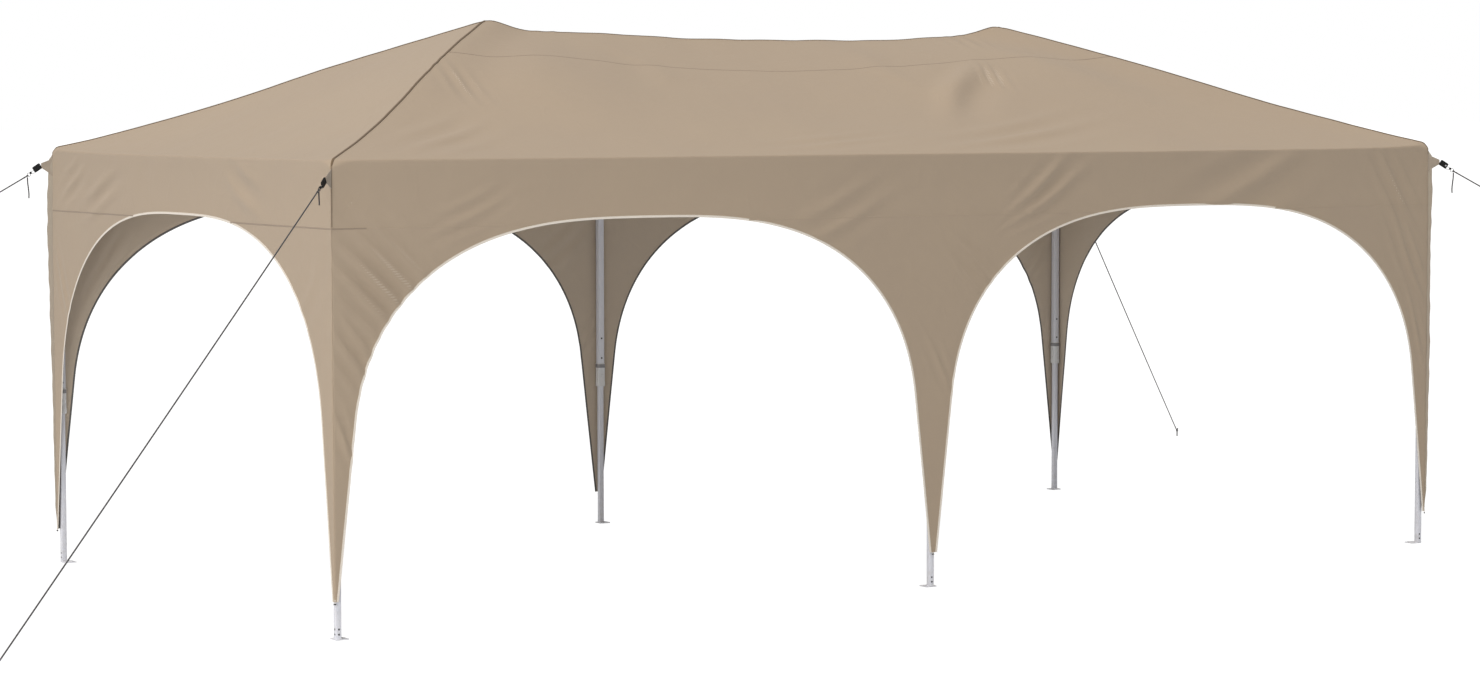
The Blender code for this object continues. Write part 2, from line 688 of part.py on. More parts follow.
def make_guy_lines():
    """A tab, buckle and taut rope from every corner to its peg in the ground."""
    for leg in LEGS:
        if not leg.corner:
            continue
        corner = Vector((math.copysign(HALF_LENGTH, leg.x), math.copysign(HALF_WIDTH, leg.y), 0))
        peg = Vector((*PEG_PLACES[leg.name], 0.0))
        outward = (peg - corner).normalized()
        to_peg = (peg - corner).length - PEG_RADIUS - GAP
        fall = (ROPE_CORNER_Z - ROPE_PEG_Z) / to_peg
        slope = Vector((outward.x, outward.y, -fall))
        along_slope = slope.normalized()
        anchor = Vector((0, 0, ROPE_CORNER_Z))
        buckle_start = anchor + slope * BUCKLE_REACH
        buckle_end = buckle_start + along_slope * BUCKLE[0]
        knot = anchor + slope * KNOT_REACH
        half_knot = along_slope * KNOT_LENGTH / 2
        end_slant = ROPE_RADIUS * fall
        rope_end = anchor + slope * (to_peg - end_slant)
        pieces = [
            rod(buckle_end - along_slope * OVERLAP, rope_end, ROPE_RADIUS),
            rod(knot - half_knot, knot + half_knot, KNOT_RADIUS),
            tab(outward, fall),
            bar(buckle_start, buckle_end, BUCKLE[1], BUCKLE[2]),
        ]
        place(f"guy_line_{leg.name}", fused("guy_line", pieces), cord_fibre, corner)
        make_tail(leg, corner, outward, knot, fall)
        hook_z = PEG_HEIGHT - PEG_RADIUS
        shaft = rod((0, 0, 0), (0, 0, PEG_HEIGHT), PEG_RADIUS, sides=ROUND_SIDES)
        hook = rod((0, 0, hook_z), outward * PEG_HOOK + Vector((0, 0, hook_z)), PEG_HOOK_RADIUS)
        place(f"peg_{leg.name}", fused("peg", [shaft, hook]), dark_steel, peg)


clear_scene()
tent = new_collection("Pop-up party tent")
helpers = new_collection("Joined and cut pieces", hidden=True)
canvas = new_material("Tan canopy cloth", (0.48, 0.38, 0.27), 0.85)
white_steel = new_material("White coated steel", (0.75, 0.76, 0.78), 0.35)
pale_plastic = new_material("Pale moulded plastic", (0.70, 0.70, 0.70), 0.5)
cord_fibre = new_material("Dark guy rope", (0.10, 0.09, 0.10), 0.8)
dark_steel = new_material("Dark steel peg", (0.04, 0.04, 0.04), 0.5, 0.6)
make_legs()
make_trusses()
make_peak_trusses()
make_roof()
make_bands()
make_skirts()
make_guy_lines()
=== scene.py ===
"""Pop-up party tent: the cloth, ropes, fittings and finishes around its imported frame.

Every length is in metres, in the frame's own axes: +X runs along the long walls from the left
end to the right end, the front wall faces -Y, and +Z is up.

How the cloth's shape is worked out, in words:

- Four roof slopes meet at the hips and at the ridge. v goes from 0 at the eave to 1 at the
  ridge, and u from -1 at one hip to 1 at the next. Heights go straight from eave to ridge, and
  sine waves and bells add the sag of hips, slopes and ridge.
- The distance round the upright walls is counted from the front left corner, and an arch's
  edge is a power curve: straight near the leg's foot, and round under the crown.
- Roof and walls are three half spaces. Their smooth greatest value, put equal to nothing, is
  the soft skin: points are moved onto it along the blended outward direction.
- Folds are groups of waves, each within a bell that is long in one direction and short in the
  other. They and a broad swell move the skin's points along the outward direction.
"""

from __future__ import annotations

import logging
from collections.abc import Callable, Sequence
from dataclasses import dataclass
from math import atan2, cos, pi, radians, sin

import bpy
import numpy as np
from mathutils import Matrix, Vector


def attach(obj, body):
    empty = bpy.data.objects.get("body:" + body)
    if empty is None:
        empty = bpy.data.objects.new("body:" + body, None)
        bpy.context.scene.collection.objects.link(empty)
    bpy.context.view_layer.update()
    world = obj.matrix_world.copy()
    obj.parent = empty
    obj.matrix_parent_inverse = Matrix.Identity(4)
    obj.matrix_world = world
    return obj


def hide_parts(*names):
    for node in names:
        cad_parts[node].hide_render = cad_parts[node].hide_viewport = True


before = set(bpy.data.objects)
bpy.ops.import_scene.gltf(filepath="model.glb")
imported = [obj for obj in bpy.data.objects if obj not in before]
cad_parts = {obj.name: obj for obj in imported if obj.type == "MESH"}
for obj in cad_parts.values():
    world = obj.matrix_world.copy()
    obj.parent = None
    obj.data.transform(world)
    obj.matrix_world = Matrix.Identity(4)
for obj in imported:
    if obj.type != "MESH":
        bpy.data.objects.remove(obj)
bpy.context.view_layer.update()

log = logging.getLogger("party_tent")

Array = np.ndarray
Colour = tuple[float, float, float]
Point = tuple[float, float, float]
Body = tuple[Array, list[Array], list[Array]]
Material = bpy.types.Material
Socket = bpy.types.NodeSocket

EAST, NORTH, UP = np.eye(3)
CORNERS = {"front_left": (-1, -1), "front_right": (1, -1), "back_left": (-1, 1), "back_right": (1, 1)}


# Rows of points


def unit(rows: Array) -> Array:
    """Return the vectors in rows, each one unit long."""
    return rows / np.maximum(np.linalg.norm(rows, axis=-1, keepdims=True), 1e-12)


def spread(*parts: object) -> Array:
    """Return points whose coordinates are the given arrays and numbers, brought to one shape."""
    return np.stack(np.broadcast_arrays(*parts), axis=-1)


def circle(count: int) -> tuple[Array, Array]:
    """Return the cosines and sines of a full turn in equal steps."""
    turn = np.linspace(0.0, 2.0 * pi, count, endpoint=False)
    return np.cos(turn), np.sin(turn)


def bell(distance: Array, width: float) -> Array:
    """Return a bell curve, e to the power of minus the square of distance over width."""
    return np.exp(-((distance / width) ** 2))


def ease(share: Array) -> Array:
    """Return share held between 0 and 1, and eased at both ends by its cubic."""
    held = np.clip(share, 0.0, 1.0)
    return held * held * (3.0 - 2.0 * held)


def eased_steps(count: int, power: float) -> Array:
    """Return steps from -1 to 1 that get closer at both ends: 1 less a power of the rest."""
    t = np.linspace(-1.0, 1.0, count + 1)
    return np.sign(t) * (1.0 - (1.0 - np.abs(t)) ** power)


def smooth_greater(first: Array, second: Array, reach: Array) -> tuple[Array, Array]:
    """Return the smooth greater of two values, and the first one's share in it.

    Where the two differ by less than reach, the greater is raised by the square of what is
    missing to reach, over four times reach.

    Args:
        first: One value for each point.
        second: The other value for each point.
        reach: How near to each other the two begin to blend.

    Returns:
        The blended values and the first one's share, from 0 to 1.
    """
    missing = np.clip(reach - np.abs(first - second), 0.0, None)
    share = np.clip(0.5 + (first - second) / (2.0 * reach), 0.0, 1.0)
    return np.maximum(first, second) + missing**2 / (4.0 * reach), share


def ways_along(grid: Array, axis: int, ring: bool) -> Array:
    """Return the direction along one axis at each point, past the seam on a ring."""
    return np.roll(grid, -1, axis) - np.roll(grid, 1, axis) if ring else np.gradient(grid, axis=axis)


def smooth_route(points: Array, steps: int = 6) -> Array:
    """Return a route through the points, each span a Catmull-Rom cubic, its ends mirrored.

    Args:
        points: The points that the route goes through.
        steps: How many steps each span has.

    Returns:
        The route's points.
    """
    padded = np.concatenate([2.0 * points[:1] - points[1:2], points, 2.0 * points[-1:] - points[-2:-1]])
    t = np.linspace(0.0, 1.0, steps, endpoint=False)[None, :, None]
    a, b, c, d = (padded[i : len(padded) - 3 + i, None] for i in range(4))
    cubic = (2.0 * a - 5.0 * b + 4.0 * c - d) * t**2 + (3.0 * b - a - 3.0 * c + d) * t**3
    return np.concatenate([(0.5 * (2.0 * b + (c - a) * t + cubic)).reshape(-1, 3), points[-1:]])


# Pieces


def link_object(name: str, data: bpy.types.ID) -> bpy.types.Object:
    """Make an object of the data and link it to the scene.

    Args:
        name: The object's name.
        data: Its mesh, light or camera.

    Returns:
        The new object.
    """
    thing = bpy.data.objects.new(name, data)
    bpy.context.scene.collection.objects.link(thing)
    return thing


def build_piece(
    name: str,
    points: Array,
    faces: Sequence[Array],
    pattern: Array,
    face_finish: Array,
    finishes: Sequence[Material],
    slot: str,
    stands_for: Sequence[str] = (),
    body: str = "root",
    sharp: float = 40.0,
) -> bpy.types.Object:
    """Make a piece from whole arrays, ride it on its body, and hide the nodes it stands for.

    Args:
        name: The piece's name.
        points: The points, in rows of three.
        faces: Arrays of point numbers, one array for each count of corners.
        pattern: Pattern coordinates for each corner of each face, in metres.
        face_finish: The number of each face's finish.
        finishes: The materials.
        slot: Not used.
        stands_for: The nodes that it replaces.
        body: The body that carries it.
        sharp: Edges between faces that turn more than this, in degrees, are sharp.

    Returns:
        The new object, at the origin.
    """
    loops = np.concatenate([f.ravel() for f in faces]).astype(np.int32)
    sizes = np.concatenate([np.full(len(f), f.shape[1]) for f in faces])
    mesh = bpy.data.meshes.new(name)
    mesh.vertices.add(len(points))
    mesh.vertices.foreach_set("co", np.ascontiguousarray(points, dtype=np.float32).ravel())
    mesh.loops.add(len(loops))
    mesh.loops.foreach_set("vertex_index", loops)
    mesh.polygons.add(len(sizes))
    mesh.polygons.foreach_set("loop_start", (np.cumsum(sizes) - sizes).astype(np.int32))
    mesh.polygons.foreach_set("material_index", face_finish.astype(np.int32))
    mesh.update(calc_edges=True)
    layer = mesh.uv_layers.new(name="pattern")
    layer.uv.foreach_set("vector", np.ascontiguousarray(pattern, dtype=np.float32).ravel())
    mesh.polygons.foreach_set("use_smooth", np.ones(len(sizes), dtype=bool))
    mesh.set_sharp_from_angle(angle=radians(sharp))
    for finish in finishes:
        mesh.materials.append(finish)
    piece = link_object(name, mesh)
    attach(piece, body)
    if stands_for:
        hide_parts(*stands_for)
    log.info("%s: %d faces on %s", name, len(sizes), body)
    return piece


def grid_quads(grid: Array) -> Array:
    """Return a grid's values at the four corners of each of its faces, facing outward."""
    return np.stack([grid[:-1, :-1], grid[:-1, 1:], grid[1:, 1:], grid[1:, :-1]], axis=2)


def tube(points: Array, pattern: Array | None = None, ring: bool = False, caps: Array | None = None) -> Body:
    """Return a closed body from rows of points that each go once round it.

    Args:
        points: The points, in rows and columns.
        pattern: Pattern coordinates, with one column more, and on a ring one row more.
        ring: Whether the last row meets the first.
        caps: Pattern coordinates of the two end faces.

    Returns:
        The points, face arrays, and an array of corner coordinates for each.
    """
    numbers = np.arange(points.shape[0] * points.shape[1]).reshape(points.shape[:2])
    around = np.c_[numbers, numbers[:, :1]]
    if ring:
        around = np.r_[around, around[:1]]
    pattern = np.zeros((*around.shape, 2)) if pattern is None else pattern
    faces, corners = [grid_quads(around).reshape(-1, 4)], [grid_quads(pattern)]
    if not ring:
        faces.append(np.stack([numbers[0, ::-1], numbers[-1]]))
        corners.append(np.zeros((2 * points.shape[1], 2)) if caps is None else caps)
    return points.reshape(-1, 3), faces, corners


def sweep(path: Array, up: Array, profile: Array, ring: bool = False, scale: Array | None = None) -> Body:
    """Return a closed body: a profile carried along a path, square to it.

    A point is the path's point plus across times the profile's first number plus up times its
    second one. The pattern counts the length along the path and the length round the profile.

    Args:
        path: The path's points.
        up: The up direction, for the whole path or for each point.
        profile: The profile's points, turning from across to up.
        ring: Whether the path's end meets its start.
        scale: The profile's size at each point, as a share.

    Returns:
        Points, faces and corner coordinates, as tube gives them.
    """
    forward = unit(ways_along(path, 0, ring))
    up = np.broadcast_to(up, path.shape)
    up = unit(up - forward * np.sum(up * forward, axis=1, keepdims=True))
    shape = profile[None] * (np.ones(len(path)) if scale is None else scale)[:, None, None]
    points = path[:, None] + np.cross(up, forward)[:, None] * shape[..., :1] + up[:, None] * shape[..., 1:]
    lengths = (np.linalg.norm(np.diff(line, axis=0, append=line[:1]), axis=1) for line in (path, profile))
    run, girth = (np.append(0.0, np.cumsum(length)) for length in lengths)
    pattern = spread(run[: len(path) + ring, None], girth)
    return tube(points, pattern, ring, np.concatenate([shape[0, ::-1], shape[-1]]))


def turned_body(base: Array, axis: Array, outline: Sequence[tuple[float, float]], sides: int = 24) -> Body:
    """Return a closed body of revolution.

    Args:
        base: The point from which heights are counted.
        axis: The direction of the axis.
        outline: Pairs of height along the axis and radius, from the low end to the high end.
        sides: How many sides the circle has.

    Returns:
        Points, faces and corner coordinates, as tube gives them.
    """
    direction = unit(axis)
    heights, radii = np.array(outline).T
    side = np.cross(direction, UP)
    across = np.cross(unit(side) if np.linalg.norm(side) > 0.1 else EAST, direction)
    cosine, sine = circle(sides)
    ring = across * cosine[:, None] + np.cross(direction, across) * sine[:, None]
    points = base + direction * heights[:, None, None] + ring * radii[:, None, None]
    return tube(points, spread(heights[:, None], np.linspace(0.0, 2.0 * pi * max(radii), sides + 1)))


def round_profile(radius: float, sides: int) -> Array:
    """Return a circle of points, turning from across to up."""
    return radius * spread(*circle(sides))


def soft_rectangle(width: float, height: float, corner: float, steps: int = 3) -> Array:
    """Return a rectangle as points that turn from across to up, each corner a quarter circle.

    Args:
        width: Its size across.
        height: Its size up.
        corner: The corners' radius.
        steps: The points of each corner.

    Returns:
        The points, in rows of two.
    """
    turn = np.linspace(0.0, pi / 2.0, steps)
    quarter = spread(np.cos(turn), np.sin(turn)) * corner
    middles = np.array([(1, 1), (-1, 1), (-1, -1), (1, -1)]) * (np.array([width, height]) / 2.0 - corner)
    square_turn = np.array([(0, 1), (-1, 0)])
    return np.concatenate([m + quarter @ np.linalg.matrix_power(square_turn, k) for k, m in enumerate(middles)])


def stacked_body(
    centre: Array, first: Array, second: Array, rows: Sequence[tuple], hollow: bool = False, steps: int = 3
) -> Body:
    """Return a body whose outlines are rounded rectangles, stacked along a third direction.

    Args:
        centre: The point from which the rows are counted.
        first: The direction of each outline's length.
        second: The direction of its width; the third direction is the two's cross product.
        rows: Half length, half width, corner radius and height of each outline.
        hollow: Whether the last row meets the first, as where rows go up outside and down inside.
        steps: The points of each rounded corner.

    Returns:
        Points, faces and corner coordinates, as tube gives them.
    """
    outlines = np.array([soft_rectangle(2.0 * a, 2.0 * b, r, steps) for a, b, r, _ in rows])
    heights = np.array([row[3] for row in rows])[:, None, None]
    third = np.cross(first, second)
    return tube(centre + outlines[..., :1] * first + outlines[..., 1:] * second + heights * third, None, hollow)


def slab(a: float, b: float, radius: float, low: float, high: float, bevel: Point) -> list[tuple]:
    """Return stacked_body's rows for a slab, its two faces inset, eased and rounded by the bevel.

    Args:
        a: Half its length.
        b: Half its width.
        radius: Its corners' radius.
        low: The height of its lower face.
        high: The height of its upper face.
        bevel: The faces' inset, the edges' height, and what the radius loses on the faces.

    Returns:
        Half length, half width, corner radius and height of each outline.
    """
    inset, edge, rounding = bevel
    face, side = (a - inset, b - inset, radius - rounding), (a, b, radius)
    return [(*face, low), (*side, low + edge), (*side, high - edge), (*face, high)]


def pin(centre: Array, axis: Array, half: float, radius: float = 0.0050) -> Body:
    """Return a rivet with a low domed head at both ends, half its span from the centre.

    Args:
        centre: Its middle.
        axis: Its direction.
        half: Half the span between its heads.
        radius: The heads' radius.

    Returns:
        Points, faces and corner coordinates, as tube gives them.
    """
    head = ((0.0022, 0.24), (0.0018, 0.70), (0.0006, 0.96), (0.0, 1.0), (0.0, 0.64))
    side = [(half + height, share * radius) for height, share in head]
    return turned_body(centre, axis, [(-h, r) for h, r in side] + side[::-1], 16)


def spot(centre: Array, axis: Array, radius: float, proud: float = 0.0004) -> Body:
    """Return a thin round disc, for a hole, a rivet or a button on a face."""
    edge = min(0.4 * proud, 0.0005)
    return turned_body(centre, axis, [(-0.0004, radius), (proud - edge, radius), (proud, radius - edge)], 18)


def make_piece(
    name: str,
    parts: Sequence[tuple[Material, Sequence[Body]]],
    slot: str,
    stands_for: Sequence[str] = (),
    body: str = "root",
    sharp: float = 40.0,
) -> bpy.types.Object:
    """Make one piece of several closed bodies.

    Args:
        name: The piece's name.
        parts: Each finish with its bodies.
        slot, stands_for, body, sharp: As in build_piece.

    Returns:
        The new object.
    """
    points, by_size, start = [], {}, 0
    for number, (_, bodies) in enumerate(parts):
        for body_points, faces, corners in bodies:
            for face_rows, corner_rows in zip(faces, corners):
                kept = by_size.setdefault(face_rows.shape[1], ([], [], []))
                kept[0].append(face_rows + start)
                kept[1].append(corner_rows.reshape(-1, 2))
                kept[2].append(np.full(len(face_rows), number))
            points.append(body_points)
            start += len(body_points)
    faces, corners, finish = ([np.concatenate(kept[part]) for kept in by_size.values()] for part in range(3))
    finishes = [material for material, _ in parts]
    arrays = np.concatenate(points), faces, np.concatenate(corners), np.concatenate(finish)
    return build_piece(name, *arrays, finishes, slot, stands_for, body, sharp)


# Finishes


class NodeBench:
    """Adds nodes to one node tree and fills their sockets."""

    def __init__(self, tree: bpy.types.NodeTree) -> None:
        """Keep the tree that the nodes go into."""
        self.tree = tree

    def add(self, kind: str, sockets: dict | None = None, **settings: object) -> bpy.types.bpy_prop_collection:
        """Add a node.

        Args:
            kind: The node's type.
            sockets: Values or output sockets for its inputs, by name or number.
            settings: The node's own settings.

        Returns:
            The node's outputs.
        """
        node = self.tree.nodes.new(kind)
        for name, value in settings.items():
            setattr(node, name, value)
        for name, value in (sockets or {}).items():
            if isinstance(value, Socket):
                self.tree.links.new(value, node.inputs[name])
            else:
                node.inputs[name].default_value = value
        return node.outputs

    def math(self, how: str, *values: object) -> Socket:
        """Add a Math node and return its result."""
        return self.add("ShaderNodeMath", dict(enumerate(values)), operation=how)[0]

    def vector(self, how: str, first: object, second: object) -> Socket:
        """Add a Vector Math node and return its result."""
        return self.add("ShaderNodeVectorMath", {0: first, 1: second}, operation=how)[0]

    def blend(self, share: object, low: object, high: object, how: str = "MIX") -> Socket:
        """Add a Mix node for colours and return its result."""
        return self.add("ShaderNodeMix", {0: share, 6: low, 7: high}, data_type="RGBA", blend_type=how)[2]

    def scale(self, *values: object) -> Socket:
        """Add a Map Range node for a value, its low and high ends and what they become."""
        return self.add("ShaderNodeMapRange", dict(enumerate(values)))[0]

    def noise(self, place: object, size: float, detail: float = 2.0, rough: float = 0.5) -> Socket:
        """Add a noise of the given feature size in metres, and return its value."""
        sockets = {"Vector": place, "Scale": 1.0 / size, "Detail": detail, "Roughness": rough}
        return self.add("ShaderNodeTexNoise", sockets)[0]

    def off_middle(self, value: object, middle: object = 0.5) -> Socket:
        """Return how far a value is from the middle, either way."""
        return self.math("ABSOLUTE", self.math("SUBTRACT", value, middle))

    def split(self, value: Socket) -> bpy.types.bpy_prop_collection:
        """Return the three coordinates of a vector."""
        return self.add("ShaderNodeSeparateXYZ", {0: value})

    def group(self, tree: bpy.types.NodeTree, **sockets: object) -> bpy.types.bpy_prop_collection:
        """Add a shared group with its inputs, and return its outputs."""
        return self.add("ShaderNodeGroup", sockets, node_tree=tree)

    def bump(self, height: Socket, strength: float = 1.0) -> Socket:
        """Add a Bump node for a height in metres, and return the normal."""
        return self.add("ShaderNodeBump", {"Height": height, "Distance": 1.0, "Strength": strength})[0]


class MaterialBench(NodeBench):
    """The bench of a new material."""

    def __init__(self, name: str) -> None:
        """Start the material, with its place and pattern coordinates.

        Args:
            name: The material's name.
        """
        self.material = bpy.data.materials.new(name)
        self.material.use_nodes = True
        super().__init__(self.material.node_tree)
        self.tree.nodes.clear()
        where = self.add("ShaderNodeTexCoord")
        self.place, self.pattern = where["Object"], where["UV"]

    def close(self, sockets: dict) -> Material:
        """Add the shader with its inputs, and return the material."""
        self.add("ShaderNodeOutputMaterial", {"Surface": self.add("ShaderNodeBsdfPrincipled", sockets)[0]})
        return self.material


def make_group(
    name: str, inputs: dict[str, object], build: Callable[[NodeBench, dict], dict]
) -> bpy.types.NodeTree:
    """Make a shader node group.

    Args:
        name: The group's name.
        inputs: Each input's value: None for a vector, a tuple for a colour, else a number.
        build: Adds the nodes and returns each output's socket by name.

    Returns:
        The group.
    """
    group = bpy.data.node_groups.new(name, "ShaderNodeTree")
    for label, value in inputs.items():
        kind = "Vector" if value is None else "Color" if isinstance(value, tuple) else "Float"
        socket = group.interface.new_socket(label, in_out="INPUT", socket_type=f"NodeSocket{kind}")
        if value is not None:
            socket.default_value = value
    bench = NodeBench(group)
    results = build(bench, bench.add("NodeGroupInput"))
    for label in results:
        kind = "Color" if label == "Colour" else "Float"
        group.interface.new_socket(label, in_out="OUTPUT", socket_type=f"NodeSocket{kind}")
    bench.add("NodeGroupOutput", results)
    return group


def soft_cloud(bench: NodeBench, given: dict) -> dict:
    """Vary a colour softly at two sizes, and the blue in it a little less.

    Args:
        bench: The group's bench.
        given: The group's inputs.

    Returns:
        The group's outputs by name.
    """
    broad, small = bench.noise(given["Place"], 0.55), bench.noise(given["Place"], 0.045, 3.0, 0.6)
    mixed = bench.math("ADD", bench.math("MULTIPLY", broad, 0.65), bench.math("MULTIPLY", small, 0.35))
    swing = bench.math("MULTIPLY", bench.math("SUBTRACT", mixed, 0.5), given["Strength"])
    light = bench.math("ADD", 1.0, swing)
    blue = bench.math("MULTIPLY_ADD", swing, -0.35, light)
    tint = bench.add("ShaderNodeCombineColor", {0: light, 1: light, 2: blue})[0]
    return {"Colour": bench.blend(1.0, given["Colour"], tint, "MULTIPLY"), "Mask": mixed}


def plain_weave(bench: NodeBench, given: dict) -> dict:
    """Give the height and the gaps of threads that pass over and under by turns.

    Args:
        bench: The group's bench.
        given: The group's inputs.

    Returns:
        The group's outputs by name.
    """
    split, turn = bench.split(given["Pattern"]), bench.math("DIVIDE", pi, given["Thread"])
    warp, weft = (bench.math("SINE", bench.math("MULTIPLY", split[i], turn)) for i in range(2))
    ribs = bench.math("MAXIMUM", bench.math("ABSOLUTE", warp), bench.math("ABSOLUTE", weft))
    over = bench.math("MULTIPLY", warp, weft)
    height = bench.math("MULTIPLY_ADD", over, 0.25, bench.math("MULTIPLY", ribs, 0.75))
    return {"Height": height, "Gap": bench.scale(ribs, 0.2, 0.75, 1.0, 0.0)}


def packed_crinkle(bench: NodeBench, given: dict) -> dict:
    """Give the height, in metres, of small creases left by packing.

    Args:
        bench: The group's bench.
        given: The group's inputs.

    Returns:
        The group's outputs by name.
    """
    bend = bench.add("ShaderNodeTexNoise", {"Vector": given["Place"], "Scale": 3.0, "Detail": 1.0})[1]
    place = bench.vector("ADD", given["Place"], bench.vector("MULTIPLY", bend, (0.12, 0.12, 0.12)))
    crease = bench.scale(bench.off_middle(bench.noise(place, 0.16, 1.0)), 0.0, 0.06, 0.35, 0.0)
    folds = bench.math("ADD", bench.noise(place, 0.11), crease)
    return {"Height": bench.math("MULTIPLY", folds, given["Depth"])}


def stitch_row(bench: NodeBench, given: dict) -> dict:
    """Mark a row of stitches at one distance across a strip.

    Args:
        bench: The group's bench.
        given: The group's inputs.

    Returns:
        The group's outputs by name.
    """
    split = bench.split(given["Pattern"])
    near = bench.scale(bench.off_middle(split[1], given["Line"]), 0.0004, 0.0010, 1.0, 0.0)
    step = bench.math("FRACT", bench.math("DIVIDE", split[0], given["Pitch"]))
    return {"Mask": bench.math("MULTIPLY", near, bench.scale(bench.off_middle(step), 0.30, 0.38, 1.0, 0.0))}


def ground_dust(bench: NodeBench, given: dict) -> dict:
    """Mark dust and scuffs, more dust near the ground.

    Args:
        bench: The group's bench.
        given: The group's inputs.

    Returns:
        The group's outputs by name.
    """
    low = bench.scale(bench.split(given["Place"])[2], 0.0, 0.35, 1.0, 0.12)
    spots = bench.scale(bench.noise(given["Place"], 0.02, 4.0, 0.65), 0.42, 0.72, 0.0, 1.0)
    mask = bench.math("MULTIPLY", bench.math("MULTIPLY", low, spots), given["Amount"])
    stretched = bench.add("ShaderNodeMapping", {"Vector": given["Place"], "Scale": (260.0, 260.0, 9.0)})[0]
    return {"Mask": mask, "Scuff": bench.scale(bench.noise(stretched, 1.0), 0.60, 0.78, 0.0, 1.0)}


def rgba(colour: Colour) -> tuple[float, float, float, float]:
    """Return a colour with a full alpha."""
    return (*colour, 1.0)


